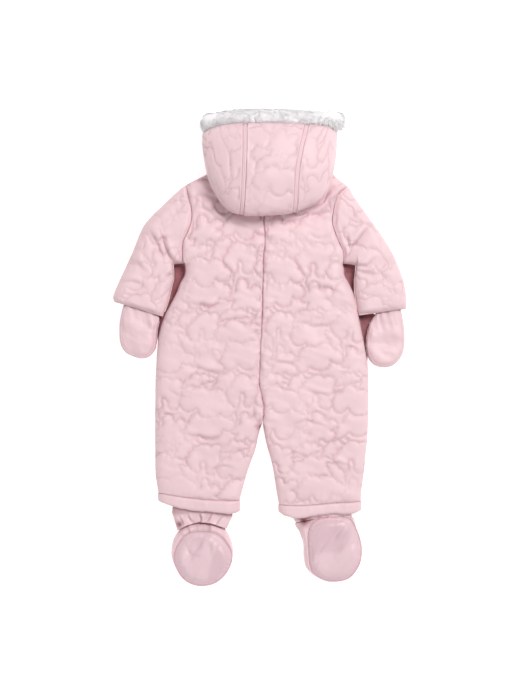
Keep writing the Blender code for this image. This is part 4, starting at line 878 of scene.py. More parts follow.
def back_piece(name, table, armhole, hem, seed):
    """Quilted half of the back with its folds, the puckers of its seams, and painted shade."""
    full, shoulder, x, y, inner_x = fine_plan(table, None, armhole, hem, False, GRID_STEP)
    side = np.sign(shoulder[0])
    fill = body_fill(full, x, y, NECK_Y, shoulder, hem, inner_x)
    to_inner = np.abs(x - inner_x)
    to_side = np.maximum(side * (body_side(full, y) - x), 0.0)
    to_hem = np.maximum(y - curve(hem, 1, x), 0.0)
    to_top = np.maximum(top_y(x, NECK_Y, shoulder) - y, 0.0)
    height, distance = puff(x, y, seed)
    fold, fold_shade = creases(x, y, BACK_CREASES)
    height = height + fold
    joined, armed = ease(*JOINED, y), ease(*ARMED, y)
    to_seams = np.minimum(to_inner + 30 * (1 - joined), to_side + 30 * (1 - armed))
    edge = np.minimum(to_seams, np.minimum(to_hem, to_top))
    height = height * ease(0.0, 5.0, edge) - 0.5 * np.exp(-(edge / 1.4) ** 2)
    height += 2.8 * seam_puckers(to_inner, y, 9.0, 31) * joined * ease(0.0, 2.0, to_inner)
    height += seam_puckers(to_hem, x, 8.0, 33)
    height += seam_puckers(to_side, y, 6.0, 35) * armed * ease(0.0, 2.0, to_side)
    top = MID + EDGE + (TOP - MID - EDGE) * fill + height * np.clip(fill * 1.2 - 0.1, 0, 1)
    upper = np.dstack((x, y, np.maximum(top, MID + 1.4)))
    lower = np.dstack((x, y, np.full_like(x, MID + SEAM_GAP)))
    # Painted shade in the stitched furrows, the folds and the hollows.
    tone = stitch_shade(distance) * ease(0.0, 3.0, edge) + fold_shade + hollow_shade(height)
    # Painted shadow of the hood: darker towards the neck.
    tone = tone + 0.07 * ease(165.0, 205.0, y)
    # Painted shade along the seams and edges, broken like stitching, and beside the centre seam.
    stitched = 0.65 + 0.45 * noise(x + y, y - x, 4.0, 37)
    tone = np.maximum(tone, 0.26 * stitched * np.exp(-(edge / 0.7) ** 2))
    tone = np.maximum(tone, 0.42 * joined * stitched * np.exp(-(to_inner / 0.9) ** 2))
    tone = tone + 0.05 * joined * np.exp(-to_inner / 5.0) * (1 + noise(y, 0 * x, 9.0, 39))
    # Painted shadows at the listed spots.
    for x0, y0, wide, deep in BACK_SHADOWS:
        tone = tone + deep * np.exp(-(np.hypot(x - x0, y - y0) / wide) ** 2)
    return slab_piece(name, upper, lower, QUILTED, tone)


def front_piece(name, table, extra, armhole, hem, seed):
    """Quilted half of the front, hollow over the zip, with a lower ledge beside the back in painted shade.
    """
    full, shoulder, x, y, inner_x = fine_plan(table, extra, armhole, hem, True, GRID_STEP * 1.3)
    side = np.sign(shoulder[0])
    body_x = body_side(full, y)
    aside = x - body_x
    reach = ledge(side, y, body_x, *extra)
    drawn_in = body_x + aside - side * reach * ease(-30.0, 0.0, side * aside)
    fill = body_fill(full, drawn_in, y, NECK_Y, shoulder, hem, inner_x)
    beyond = ease(-3.0, 3.0, side * aside) * (reach > 0.3)
    over_zip = ease(ZIP_LOW, ZIP_HIGH, y) * (1 - ease(25.0, 38.0, np.abs(x - ZIP_X)))
    ceiling = MID - SEAM_GAP - LEDGE_DROP * beyond
    ceiling = ceiling * (1 - over_zip) + (TAPE_BOTTOM - SEAM_GAP) * over_zip
    height, distance = puff(x * side + 52.0, y + 40.0, seed)
    to_inner = np.abs(x - inner_x)
    to_hem = np.maximum(y - curve(hem, 1, x), 0.0)
    dent = np.clip(-height, 0.0, QUILT_DEPTH) * 0.75 * ease(0.0, 5.0, np.minimum(to_inner, to_hem))
    outside = np.minimum((MID - EDGE) * (1 - fill), ceiling - EDGE)
    outside = np.minimum(outside + dent * np.clip(fill, 0, 1), ceiling - 1.4)
    upper = np.dstack((x, y, ceiling - 0.5 * beyond * dent))
    lower = np.dstack((x, y, outside))
    # Painted shade: full on the ledge between the back and the sleeve or mitten; the side on the floor also
    # takes it in its stitched furrows.
    outside_shade = np.maximum(stitch_shade(distance), beyond)
    return slab_piece(name, upper, lower, QUILTED, beyond, outside_shade.ravel())


# ---- sleeves -------------------------------------------------------------------------------------


def fine_ring(plan, low, high, reach, chord):
    """Ring of a flattened tube over plan points between its folded edges."""
    width = np.linalg.norm(plan[-1] - plan[0])
    rise = rounded(np.minimum(chord, 1 - chord) * width, reach)
    middle = (low + high) / 2
    upper = np.column_stack((plan, middle + (high - middle) * rise))
    lower = np.column_stack((plan, middle - (middle - low) * rise))
    return np.vstack((upper, lower[-2:0:-1])), np.concatenate((rise, rise[-2:0:-1]))


ARMHOLE_GAP = 1.2      # the solids' gap at the armholes, closed here
HEM_ROLL = 9.0         # how far a sleeve's hem takes to reach full height


def sleeve_piece(name, table, full, armhole, crease_table, turn, seed):
    """Quilted sleeve, set in at the armhole, with a rolled hem, a hollow at its open end, and painted shade.
    """
    shoulder, underarm = (np.array((row[1], row[0])) for row in (armhole[-1], armhole[0]))
    side = np.sign(shoulder[0])
    chord = even(125.0, GRID_STEP)
    numbers = range(len(table))
    numbered = tuple((float(i),) + row for i, row in enumerate(table))

    def plan(start, end, wall, curved):
        """Points from one side of the sleeve to the other, as curved as the armhole or less."""
        part = wall / np.linalg.norm(end - start)
        t = (part + (1 - 2 * part) * chord)[:, None]
        seam = shoulder + (underarm - shoulder) * t
        bend = np.column_stack((body_side(full, seam[:, 1]) - seam[:, 0], np.zeros(len(t))))
        return start + (end - start) * t + bend * curved

    outer, inner, rises = [], [], []
    for s in spread([float(i) for i in numbers], 0.09):
        row = [float(curve(numbered, c, s)) for c in range(1, 5)]
        start, end = np.array(row[:2]), np.array(row[2:4])
        height = 1 - 0.28 * (1 - ease(0.0, 0.9, s))
        height = height * (1 - 0.10 * ease(len(table) - 2.0, len(table) - 1.0, s))
        curved, wall, hollow = (float(np.interp(s, numbers, [r[k] for r in table])) for k in (4, 5, 6))
        for corner in (start, end):
            corner[0] -= side * ARMHOLE_GAP * (1 - ease(0.0, 1.0, s))
        low, high = MID - MID * height, MID + (TOP - MID) * height
        ring, rise = fine_ring(plan(start, end, 0.0, curved), low, high, ROLL, chord)
        outer.append(ring)
        rises.append(rise)
        low, high = MID - hollow / 2, MID + hollow / 2
        inner.append(fine_ring(plan(start, end, wall, curved), low, high, hollow, chord)[0])
    outer, inner, rises = np.array(outer), np.array(inner), np.array(rises)
    on_top = (np.arange(outer.shape[1]) < len(chord))[None]
    x, y = outer[..., 0], outer[..., 1]
    c, s = math.cos(math.radians(turn)), math.sin(math.radians(turn))
    height, distance = puff(c * x - s * y + 200.0 * ~on_top, s * x + c * y, seed)
    from_armhole = np.linalg.norm(outer - outer[:1], axis=-1)
    from_hem = np.linalg.norm(outer - outer[-1:], axis=-1)
    fold, fold_shade = creases(x, y, crease_table)
    height = 0.50 * height + np.where(on_top, 1.5 * fold, 0.0)
    ends = np.minimum(from_armhole, from_hem)
    height = height * ease(0.0, 6.0, ends) - 0.5 * np.exp(-(from_armhole / 1.4) ** 2)
    height += seam_puckers(from_hem, x + y, 14.0, seed + 7) * 0.6
    height += seam_puckers(from_armhole, y, 7.0, seed + 8) * ease(0.0, 2.0, from_armhole)
    outer[..., 2] = MID + (outer[..., 2] - MID) * rounded(from_hem + 0.8, HEM_ROLL)
    relief = np.where(on_top, height, np.clip(-height, 0, QUILT_DEPTH) * 0.75)
    z = outer[..., 2] + relief * np.clip(rises * 1.25 - 0.15, 0, 1)
    below = np.minimum(np.maximum(z, 0.0), inner[..., 2] - 1.2)
    outer[..., 2] = np.where(on_top, np.maximum(z, inner[..., 2] + 1.2), below)
    # Painted shade in the stitched furrows, folds and hollows, at the armhole seam and at the hem's edge;
    # painted shade inside.
    tone = 0.7 * stitch_shade(distance) * ease(0.0, 4.0, ends) + np.where(on_top, 1.3 * fold_shade, 0.0)
    tone = np.maximum(tone + hollow_shade(height), 0.24 * np.exp(-(from_armhole / 0.7) ** 2))
    tone = np.maximum(tone, 0.40 * np.exp(-from_hem / 1.2))
    return tube_piece(name, outer, inner, QUILTED, tone, 0.6)


# ---- leg bands, ankles, mittens, booties ---------------------------------------------------------


def fine_lines(x_start, x_end, part, lines, chord):
    """Plan points part of the way between two lines, each given as a table, its column and a shift."""
    x = x_start + (x_end - x_start) * chord
    above, below = (curve(table, column, x) + shift for table, column, shift in lines)
    return np.column_stack((x, above + (below - above) * part))


def band_piece(name, table, full, side, seed):
    """Plain band sewn round a leg's opening."""
    chord = even(116.0, 1.3)
    x_side = float(body_side(full, LOWER_MARKS[0]))
    x_inner = INNER_EDGE[0][1 if side < 0 else 2] + side * SEAM_GAP / 2
    lines = ((table, 1, 0.3), (table, 2, 0.0))
    wall = side * BAND_WALL
    outer, inner, rises = [], [], []
    parts = np.linspace(0.0, 1.0, 15)
    for part in parts:
        belly = math.sqrt(max(0.0, 1 - abs(2 * part - 1) ** 3.2))
        height = 0.80 + 0.2 * belly
        out = side * (0.2 + 0.8 * belly)
        ring, rise = fine_ring(fine_lines(x_side + out, x_inner - out, part, lines, chord),
                               MID - BAND_BELOW * height, MID + (BAND_ABOVE + 0.4) * height, ROLL, chord)
        outer.append(ring)
        rises.append(rise)
        inner.append(fine_ring(fine_lines(x_side - wall, x_inner + wall, part, lines, chord),
                               MID - BAND_HOLLOW / 2, MID + BAND_HOLLOW / 2, BAND_HOLLOW, chord)[0])
    outer, inner, rises = np.array(outer), np.array(inner), np.array(rises)
    part = parts[:, None]
    x, y = outer[..., 0], outer[..., 1]
    ripple = noise(x, y * 0.2, 5.0, seed) * 0.55 + noise(x, y, 13.0, seed + 1) * 0.5
    side_of_seam = np.sign(outer[..., 2] - MID)
    outer[..., 2] += side_of_seam * rises * ripple * (0.5 + 0.5 * np.sin(np.pi * part))
    outer[..., 2] = np.maximum(outer[..., 2], 0.4)
    outer[-4:, :, 1] += noise(x[-4:], 0 * x[-4:], 6.0, seed + 2) * np.linspace(0.1, 0.7, 4)[:, None]
    # Painted shade in the seam and stitching lines, broken like stitching, and inside the band.
    stitched = 0.6 + 0.4 * noise(x, 0 * part, 3.2, seed + 3)
    tone = (0.14 * np.exp(-(part / 0.08) ** 2) + 0.12 * np.exp(-((part - 0.86) / 0.05) ** 2)) * stitched
    return tube_piece(name, outer, inner, PLAIN, tone, 0.4)


# Pleats of both ankles, as for the back, and the painted shadows beside the booties: x, y, reach.
ANKLE_CREASES = (
    (1.5, 3.4, ((-88, -236), (-86, -242), (-87, -249))),
    (1.4, 2.8, ((-70, -236), (-74, -243), (-80, -249))),
    (1.4, 2.8, ((-104, -238), (-101, -244), (-97, -250))),
    (1.3, 2.4, ((-56, -240), (-62, -246), (-66, -252))),
    (1.3, 2.4, ((-116, -240), (-112, -247), (-110, -254))),
    (1.4, 2.4, ((52, -242), (60, -250), (64, -258))),
)
ANKLE_SHADOWS = ((59, -245, 6.5), (-115, -251, 4.5), (-88, -250, 2.6))


def ankle_piece(name, table, band, gathers, seed):
    """Gathered ankle of a bootie, from inside the leg band to the bootie's rim."""
    chord = even(86.0, 1.2)
    lines = ((band, 2, ANKLE_INSIDE), (gathers, 1, -ANKLE_UNDER))
    parts = np.linspace(0.0, 1.0, 26)
    numbers = [row[0] for row in table]
    outer, inner = [], []
    for part in parts:
        outer_x, inner_x, low, high, hollow = (float(np.interp(part, numbers, [row[k] for row in table]))
                                               for k in range(1, 6))
        wall = ANKLE_WALL if inner_x > outer_x else -ANKLE_WALL
        middle = (low + high) / 2
        outer.append(fine_ring(fine_lines(outer_x, inner_x, part, lines, chord), low, high, 10.0, chord)[0])
        inner.append(fine_ring(fine_lines(outer_x + wall, inner_x - wall, part, lines, chord),
                               middle - hollow / 2, middle + hollow / 2, 4.0, chord)[0])
    outer, inner = np.array(outer), np.array(inner)
    down = ease(0.3, 1.0, parts)[:, None]
    x, y = outer[..., 0], outer[..., 1]
    fold = noise(x + y * 0.3, y * 0.12, 6.5, seed)
    fold = np.abs(fold) ** 0.7 * np.sign(fold)
    drop = (1.0 - fold) * 1.9 * down + 1.0 * noise(x, y, 16.0, seed + 1)
    upper = outer[..., 2] > (outer[..., 2].max() + outer[..., 2].min()) / 2
    pleat, pleat_shade = creases(x, y, ANKLE_CREASES)
    outer[..., 2] -= np.where(upper, drop, 0.0)
    outer[..., 2] += np.where(upper, 1.5 * pleat, 0.0)
    # Painted shade in the pleats and gathers, all over the underside, in the shadows beside the booties, and
    # at the end inside the leg band.
    tone = np.where(upper, 0.35 * np.clip(-fold, 0, 1) * down + 2.4 * pleat_shade, 0.3)
    for x0, y0, reach in ANKLE_SHADOWS:
        tone += np.exp(-(np.hypot(x - x0, y - y0) / reach) ** 2)
    tone += 0.5 * (1 - ease(0.0, 0.22, np.clip(parts - 0.32, 0, 1)))[:, None]
    outer[..., 2] = np.maximum(outer[..., 2], 0.5)
    return tube_piece(name, outer, inner, PLAIN, tone, 0.5)


def mitten_pieces(side_name, outline, hem_ends, seed):
    """Back and palm of a mitten: two thin pads sewn at the edge, gathered under the sleeve's hem."""
    edge = closed_curve(outline, 150)
    middle = edge.mean(axis=0)
    (x0, y0), (x1, y1) = hem_ends
    shrink = np.concatenate((1 - 0.30 * np.linspace(0, 1, 16) ** 1.5, np.linspace(0.67, 0.04, 24)))
    plan = middle + (edge - middle)[None] * shrink[:, None, None]
    x, y = plan[..., 0], plan[..., 1]
    hem_y = y0 + (y1 - y0) * (x - x0) / (x1 - x0)
    wrist = ease(-WRIST_BLEND, WRIST_END, y - hem_y)
    distance = (1 - shrink)[:, None] * np.linalg.norm(edge - middle, axis=1)[None]
    full = rounded(distance, 13.0)
    seam = MITTEN_MID + (MID - MITTEN_MID) * wrist
    high = MITTEN_TOP + (WRIST_TOP - MITTEN_TOP) * wrist
    down = np.maximum(hem_y - y, 0.0)
    gather = noise(x + 0.2 * y, y * 0.10, 5.5, seed) * 6.0 * np.exp(-down / 13.0) * ease(0.0, 6.0, distance)
    soft = noise(x + 0.5 * y, 1.4 * y, 19.0, seed + 1) * 2.9 + noise(x + y, y, 9.0, seed + 2) * 0.6
    stitches = np.exp(-((distance - 4.6) / 0.9) ** 2) * (1 - wrist)
    turned = np.arctan2(y - middle[1], x - middle[0]) * 26.0
    ticks = 0.8 * noise(turned, distance * 0.2, 3.6, seed + 3) * np.exp(-distance / 9.0)
    ticks = ticks * ease(0.0, 4.0, distance)
    relief = (gather + soft * ease(0.0, 8.0, distance) - 0.6 * stitches + ticks) * (1 - 0.6 * wrist)
    flat_back, flat_palm = seam + 0.25, seam - 0.25
    back = flat_back + 1.5 + (high - flat_back - 1.5) * full + relief * full
    palm = flat_palm - 1.5 - (flat_palm - 1.5 - WRIST_BOTTOM * wrist) * full
    palm = palm + np.clip(relief, 0, 2) * full * 0.4
    # Painted shade in the stitching and the gathers, in the shadow under the sleeve's hem and along the
    # rounded edge.
    tone = 0.10 * stitches + 0.22 * np.clip(-gather / 2, 0, 1)
    tone += 0.55 * np.exp(-down / 1.6) + 0.25 * np.exp(-distance / 1.0)
    for part, outside, flat in (("back", np.maximum(back, flat_back + 1.0), flat_back),
                                ("palm", np.minimum(np.maximum(palm, 0.0), flat_palm - 1.0), flat_palm)):
        node = "mitten_%s_%s" % (part, side_name)
        rings = np.concatenate((np.dstack((plan, outside))[::-1], np.dstack((plan, flat))))
        # The flat inner side of each pad takes painted shade as well.
        tones = np.concatenate((tone[::-1], np.full_like(tone, 0.5)))
        settle(node, pad_piece(node + "_cloth", rings, PLAIN, tones))


# Creases of the soles, as for the back.
SOLE_CREASES = (
    (3.4, 1.7, ((-117, -268), (-106, -283), (-98, -300))),
    (3, 1.5, ((-80, -272), (-72, -285), (-70, -300))),
    (3, 1.5, ((-110, -306), (-96, -296), (-84, -299))),
    (3.2, 0.9, ((-84, -266), (-88, -278), (-94, -290))),
    (8, 1.5, ((92, -252), (101, -272), (97, -290), (103, -306))),
    (6, 1, ((78, -262), (74, -280), (80, -300))),
)
PAINTED_SHEEN_SHADE = 0.15     # painted shade of the satin's sheen, laid out by noise
# Dents of the uppers beside the ankles, each also taking painted shadow.
UPPER_SHADOWS = ((58, -248, 6.5, 3), (66, -243, 4, 2))     # x, y, reach, depth
# Lowest rings of an upper: size as a part of its rim, and height.
UPPER_BASE = ((0.06, 0), (0.3, 0), (0.6, 0), (0.8, 0), (0.9, 0), (0.955, 0.9), (0.985, 3.2), (0.998, 6))
UPPER_RINGS = 14       # rings of its side


def bootie_edges(table):
    """A bootie's rim and sole seam, and the way round the rim."""
    edges = closed_curve(table, 200)
    rim, seam = edges[:, :2], edges[:, 2:]
    around = np.linalg.norm(np.diff(rim, axis=0, append=rim[:1]), axis=1).cumsum()
    return rim, seam, around


def flat_ring(middle, edge, size, z):
    """Level ring: an edge shrunk to a size about a middle."""
    return np.column_stack((middle + (edge - middle) * size, np.full(len(edge), z)))


def upper_piece(name, table, seed):
    """Upper of a bootie from the floor over its wavy side to the sole's seam, with its inside."""
    rim, seam, around = bootie_edges(table)
    centre = rim.mean(axis=0)
    turn = np.unwrap(np.arctan2(rim[:, 1] - centre[1], rim[:, 0] - centre[0]))
    wave = noise(around, around * 0, 9.0, seed) * 0.8 + noise(around, around * 0, 4.0, seed + 1) * 0.4
    gather = noise(around, around * 0, 4.6, seed + 2) * ease(0.35, 0.9, np.sin(turn))
    rings = [flat_ring(centre, rim, size, z) for size, z in UPPER_BASE]
    tones = [0.0] * len(rings)
    for part in np.linspace(0.0, 1.0, UPPER_RINGS):
        z = UPPER_MID + (UPPER_RIM + 0.6 - UPPER_MID) * math.sin(math.pi / 2 * min(1.0, part * 1.6))
        z -= (UPPER_RIM + 0.6 - UPPER_SEAM) * ease(0.6, 1.0, part)
        bulge = math.sin(math.pi * part)
        relief = (wave * 0.9 + gather * 2.0) * bulge - 1.6 * gather * gather * bulge
        rings.append(np.column_stack((rim + (seam - rim) * part, z + relief)))
        # Painted shade towards the sole's seam.
        tones.append(0.25 * ease(0.82, 1.0, part))
    for size in (0.86, 0.5, 0.06):
        rings.append(flat_ring(seam.mean(axis=0), seam, size, UPPER_INSIDE))
        # Painted shade on the inside under the sole.
        tones.append(0.5)
    rings = np.array(rings)
    tone = np.repeat(np.array(tones)[:, None], len(rim), axis=1)
    shown = slice(len(UPPER_BASE), len(UPPER_BASE) + UPPER_RINGS)
    # Painted shade in the gathers.
    tone[shown] += np.clip(-gather, 0, 1)[None] * 0.3
    # Each dent sinks and takes painted shadow.
    for x, y, reach, deep in UPPER_SHADOWS:
        near = np.exp(-(np.hypot(rings[shown, :, 0] - x, rings[shown, :, 1] - y) / reach) ** 2)
        rings[shown, :, 2] -= deep * near
        tone[shown] += 0.9 * near
    return pad_piece(name, rings, PLAIN, tone)


def sole_piece(name, table, seed):
    """Satin sole of a bootie: a soft cushion with creases, stitched close to its edge, with painted shade.
    """
    rim, seam, around = bootie_edges(table)
    middle = seam.mean(axis=0)
    base = UPPER_SEAM + SEAM_GAP
    across = np.linalg.norm(seam - middle, axis=1)
    rings = [flat_ring(middle, seam, size, UPPER_INSIDE + 0.6) for size in (0.06, 0.5, 0.86)]
    rings.append(flat_ring(middle, seam, 1.0, base))
    # Painted shade on the rings inside, under the sole.
    tones = [np.full(len(rim), 0.5)] * len(rings)
    for size in np.concatenate((np.linspace(1.02, 0.72, 22), np.linspace(0.69, 0.04, 20))):
        plan = middle + (seam - middle) * size
        x, y = plan.T
        inside = (1 - size) * across
        stitches = np.exp(-((inside - 4.0) / 0.9) ** 2)
        z = base + 0.8 + (SOLE_TOP - base - 0.8) * rounded(inside, 15.0) ** 1.7 - 0.4 * stitches
        z = z + 0.5 * noise(around, inside * 0.15, 3.2, seed + 4) * np.exp(-np.abs(inside - 4.0) / 4.0)
        wide = 2.6 * noise(x - y * 0.5, y * 0.6 + x * 0.3, 24.0, seed + 5)
        long = 1.3 * noise(x * 1.4 - y, y * 0.5, 11.0, seed + 6)
        fold, _ = creases(x, y, SOLE_CREASES)
        rings.append(np.column_stack((plan, z + (wide + long + fold) * ease(3.0, 12.0, inside))))
        # Painted sheen: darker satin stretches laid out by noise; painted shade by the stitching and at the
        # edge.
        satin = noise(x * 1.2 - y * 0.3, y * 0.5, 26.0, seed + 7)
        sheen_shade = PAINTED_SHEEN_SHADE * ease(-0.15, 0.15, satin) * ease(2.0, 9.0, inside)
        tones.append(0.06 * stitches + 0.10 * np.exp(-inside / 0.9) + sheen_shade)
    return pad_piece(name, np.array(rings), SOLE, np.array(tones))


# ---- hood ----------------------------------------------------------------------------------------

TOPSTITCH = 2.7        # from a hood seam to the stitching beside it
SEAM_MARKS = (0.0, 0.7, 1.3, 1.9, 2.3, 2.7, 3.1, 3.5, 4.2, 5.2)    # columns beside a hood seam


def hood_piece(name, first_angle, last_angle, seams, seed):
    """Quilted panel of the hood; seams says which of its two sides has a topstitched seam."""
    sections = spread([0.0, 0.5] + [float(s) for s in range(1, 10)], 0.085)
    start = np.array([first_angle(s) for s in sections])
    end = np.array([last_angle(s) for s in sections])
    sample = hood_point(np.full(60, 5.0), np.linspace(first_angle(5.0), last_angle(5.0), 60))
    width = np.linalg.norm(np.diff(sample, axis=0), axis=1).sum()
    left = [m / width for m in SEAM_MARKS] if seams[0] else [0.0]
    right = [1 - m / width for m in SEAM_MARKS[::-1]] if seams[1] else [1.0]
    parts = spread(left + right, GRID_STEP * 1.05 / width)
    angle = start[:, None] + (end - start)[:, None] * parts[None]
    outer, inner = hood_sides(sections[:, None] * np.ones_like(angle), angle)
    u = np.cumsum(np.linalg.norm(np.diff(outer, axis=1, prepend=outer[:, :1]), axis=-1), axis=1)
    v = np.cumsum(np.linalg.norm(np.diff(outer, axis=0, prepend=outer[:1]), axis=-1), axis=0)
    v = v.mean(axis=1, keepdims=True) * 0.5 + v * 0.5
    total_u = u[:, -1:]
    height, distance = puff(u - total_u / 2 + 13.0, v + 4.0, seed)
    to_first = u if seams[0] else np.full_like(u, 99.0)
    to_last = total_u - u if seams[1] else np.full_like(u, 99.0)
    to_seam = np.minimum(to_first, to_last)
    from_neck, from_mouth = v, v[-1:] - v
    stitches = np.exp(-((to_seam - TOPSTITCH) / 0.55) ** 2)
    height = (0.62 if all(seams) else 0.38) * height * ease(2.5, 7.0, to_seam)
    height = height * ease(0.0, 5.0, from_neck) * ease(0.0, 5.0, from_mouth)
    height -= 0.9 * (1 - ease(2.2, 4.2, to_seam)) + 1.3 * stitches
    height += seam_puckers(np.maximum(to_seam - 3.0, 0.0), v, 5.0, seed + 3) * ease(3.0, 4.5, to_seam)
    height -= 1.4 * np.exp(-(from_mouth / 3.0) ** 2)
    normal = np.cross(np.gradient(outer, axis=0), np.gradient(outer, axis=1))
    normal /= np.maximum(np.linalg.norm(normal, axis=-1, keepdims=True), 1e-9)
    normal = normal * np.sign(np.sum(normal * (outer - inner), axis=-1, keepdims=True))
    outer = outer + normal * (height * ease(0.0, 9.0, from_neck))[..., None]
    outer[..., 2] = np.maximum(outer[..., 2], 1.5)
    inner[..., 2] = np.maximum(inner[..., 2], 1.0)
    # Painted shade in the stitched furrows, on the topstitching and along the mouth's edge; a little on the
    # inner side.
    tone = np.maximum(stitch_shade(distance) * ease(3.0, 5.5, to_seam), 0.30 * stitches)
    tone = np.maximum(tone, 0.10 * np.exp(-(from_mouth / 2.0) ** 2))
    return slab_piece(name, outer, inner, QUILTED, tone, 0.1)


FUR_DROOP = 8.0        # how far the pile hangs down at the trim's two ends
FUR_RINGS = 210        # of the core, along the trim and round it
FUR_AROUND = 40
FUR_CORE = 0.86        # size of the core as a part of the trim
FUR_STRANDS = 16500
SKYWARD = np.array((0.0, 0.0, 0.9))    # turns the pile's shading up, as real pile scatters light


def unit(vectors):
    """Vectors made one long."""
    return vectors / np.linalg.norm(vectors, axis=-1, keepdims=True)


def fur_middle():
    """Middle line of the trim in fine steps, with its outward and inward directions and its size."""
    edge, out, angles = [], [], []
    for section, angle in fur_route():
        here = hood_point(section, angle)
        along = here - hood_point(section - 0.05, angle)
        around = here - hood_point(section, angle - (2.0 if angle > 0 else -2.0))
        at_crown = ease(8.2, 9.0, section) * (1 - 0.5 * ease(70.0, 96.0, abs(angle)))
        along /= np.linalg.norm(along)
        around /= np.linalg.norm(around)
        edge.append(here)
        out.append(along * at_crown + around * (1 - at_crown))
        angles.append(abs(angle))
    edge, out = np.array(edge), np.array(out)
    line = unit(np.gradient(edge, axis=0))
    out = unit(out - line * np.sum(out * line, axis=1, keepdims=True))
    inward = np.cross(line, out)
    inward *= -np.sign(np.sum(inward * (edge - HOOD_HEART), axis=1, keepdims=True))
    gap = 0.4 + 2.2 * ease(*FUR_GAP_ANGLES, angles)
    flare = FUR_FLARE * ease(*FUR_FLARE_START, angles) * (1 - ease(*FUR_FLARE_END, angles))
    middle = edge + out * (FUR_REACH + gap[:, None]) + inward * (HOOD_WALL / 2 - flare[:, None])
    size = np.ones((len(edge), 1))
    size[[0, -1]] = 0.72
    size[[1, -2]] = 0.92
    numbered = np.column_stack((np.arange(len(edge)), middle, out, inward, size))
    fine = np.linspace(0, len(edge) - 1, FUR_RINGS)
    smooth = np.column_stack([curve(numbered, k, fine) for k in range(1, 11)])
    return smooth[:, :3], smooth[:, 3:6], smooth[:, 6:9], smooth[:, 9:]


def fur_strands(rings, normals, lines, middle, rng):
    """Pile: three-sided strands of two bends. Gives their vertices and their shading normals."""
    ring = rng.uniform(0, FUR_RINGS - 1.01, FUR_STRANDS)
    spot = rng.uniform(0, FUR_AROUND, FUR_STRANDS)
    i, j = ring.astype(int), spot.astype(int)
    a, b = (ring - i)[:, None], (spot - j)[:, None]
    j2 = (j + 1) % FUR_AROUND
    root = ((rings[i, j] * (1 - a) + rings[i + 1, j] * a) * (1 - b)
            + (rings[i, j2] * (1 - a) + rings[i + 1, j2] * a) * b)
    normal = normals[i, j] * (1 - b) + normals[i, j2] * b
    around = np.cross(lines[i], normals[i, j])
    heading = rng.normal(0, 1, (FUR_STRANDS, 1)) + 2.0 * noise(ring * 1.3, spot * 1.3, 5.0, 73)[:, None]
    lean = lines[i] * np.sin(heading) + around * np.cos(heading)
    lift = rng.uniform(0.12, 0.46, (FUR_STRANDS, 1))
    tuft = noise(ring * 1.3, spot * 1.3, 4.0, 72)
    length = (6.0 + 2.0 * rng.uniform(0, 1, FUR_STRANDS) + 1.0 * tuft)[:, None]
    mid = root + (normal * lift + lean * 0.45) * length * 0.55
    tip = root + (normal * lift * 0.85 + lean * 0.8) * length
    aside = np.abs(root[:, 0] - middle[:, 0].mean()) / np.ptp(middle[:, 0]) * 2
    droop = FUR_DROOP * ease(0.6, 1.0, aside) * ease(22.0, 40.0, root[:, 2])
    mid[:, 1] -= 0.5 * droop
    tip[:, 1] -= droop
    mid[:, 2] = np.maximum(mid[:, 2], 0.3)
    tip[:, 2] = np.maximum(tip[:, 2], 0.2)
    base = root - normal * 0.4
    wide = unit(np.cross(lean, normal))
    behind = unit(np.cross(mid - base, wide))
    turns = (0.0, 2 * math.pi / 3, 4 * math.pi / 3)
    corners = [wide * math.cos(turn) + behind * math.sin(turn) for turn in turns]
    points = [base + c * 0.42 for c in corners] + [mid + c * 0.36 for c in corners] + [tip]
    strands = np.stack(points, axis=1)
    soft = unit(normal) + SKYWARD + rng.normal(0, 0.10, (FUR_STRANDS, 3)) + 0.25 * lean * (lift - 0.5)
    return strands.reshape(-1, 3), np.repeat(soft, 7, axis=0)


def fur_piece():
    """Fur trim: a soft tube round the face opening with short pile all over it."""
    middle, out, inward, size = fur_middle()
    turn = 2 * np.pi * np.arange(FUR_AROUND) / FUR_AROUND
    lump = 1 + 0.07 * noise(np.arange(FUR_RINGS)[:, None] + 0 * turn, turn[None] * 9.0, 7.0, 71)
    rings = (middle[:, None] + out[:, None] * (FUR_REACH * FUR_CORE * lump * size * np.cos(turn))[..., None]
             + inward[:, None] * (FUR_HALF * FUR_CORE * lump * size * np.sin(turn))[..., None])
    normals = unit(rings - middle[:, None])
    lines = unit(np.gradient(middle, axis=0))
    rings[..., 2] = np.maximum(rings[..., 2], 1.0)
    core = np.vstack((rings.reshape(-1, 3), rings[0].mean(axis=0), rings[-1].mean(axis=0)))
    faces = outward(core, quads(FUR_RINGS, FUR_AROUND, closed=True) + caps(FUR_RINGS, FUR_AROUND))
    pile, pile_normals = fur_strands(rings, normals, lines, middle, np.random.RandomState(5))
    first = len(core) + 7 * np.arange(FUR_STRANDS)
    for k in range(3):
        m = (k + 1) % 3
        faces += np.stack((first + k, first + m, first + 3 + m, first + 3 + k), axis=1).tolist()
        faces += np.stack((first + 3 + k, first + 3 + m, first + 6), axis=1).tolist()
    piece = make("hood_fur_pile", np.vstack((core, pile)), faces, FUR)
    shading = np.vstack((normals.reshape(-1, 3) + SKYWARD, -lines[0], lines[-1], pile_normals))
    piece.data.normals_split_custom_set_from_vertices(unit(shading).tolist())
    return piece


# ---- everything ----------------------------------------------------------------------------------

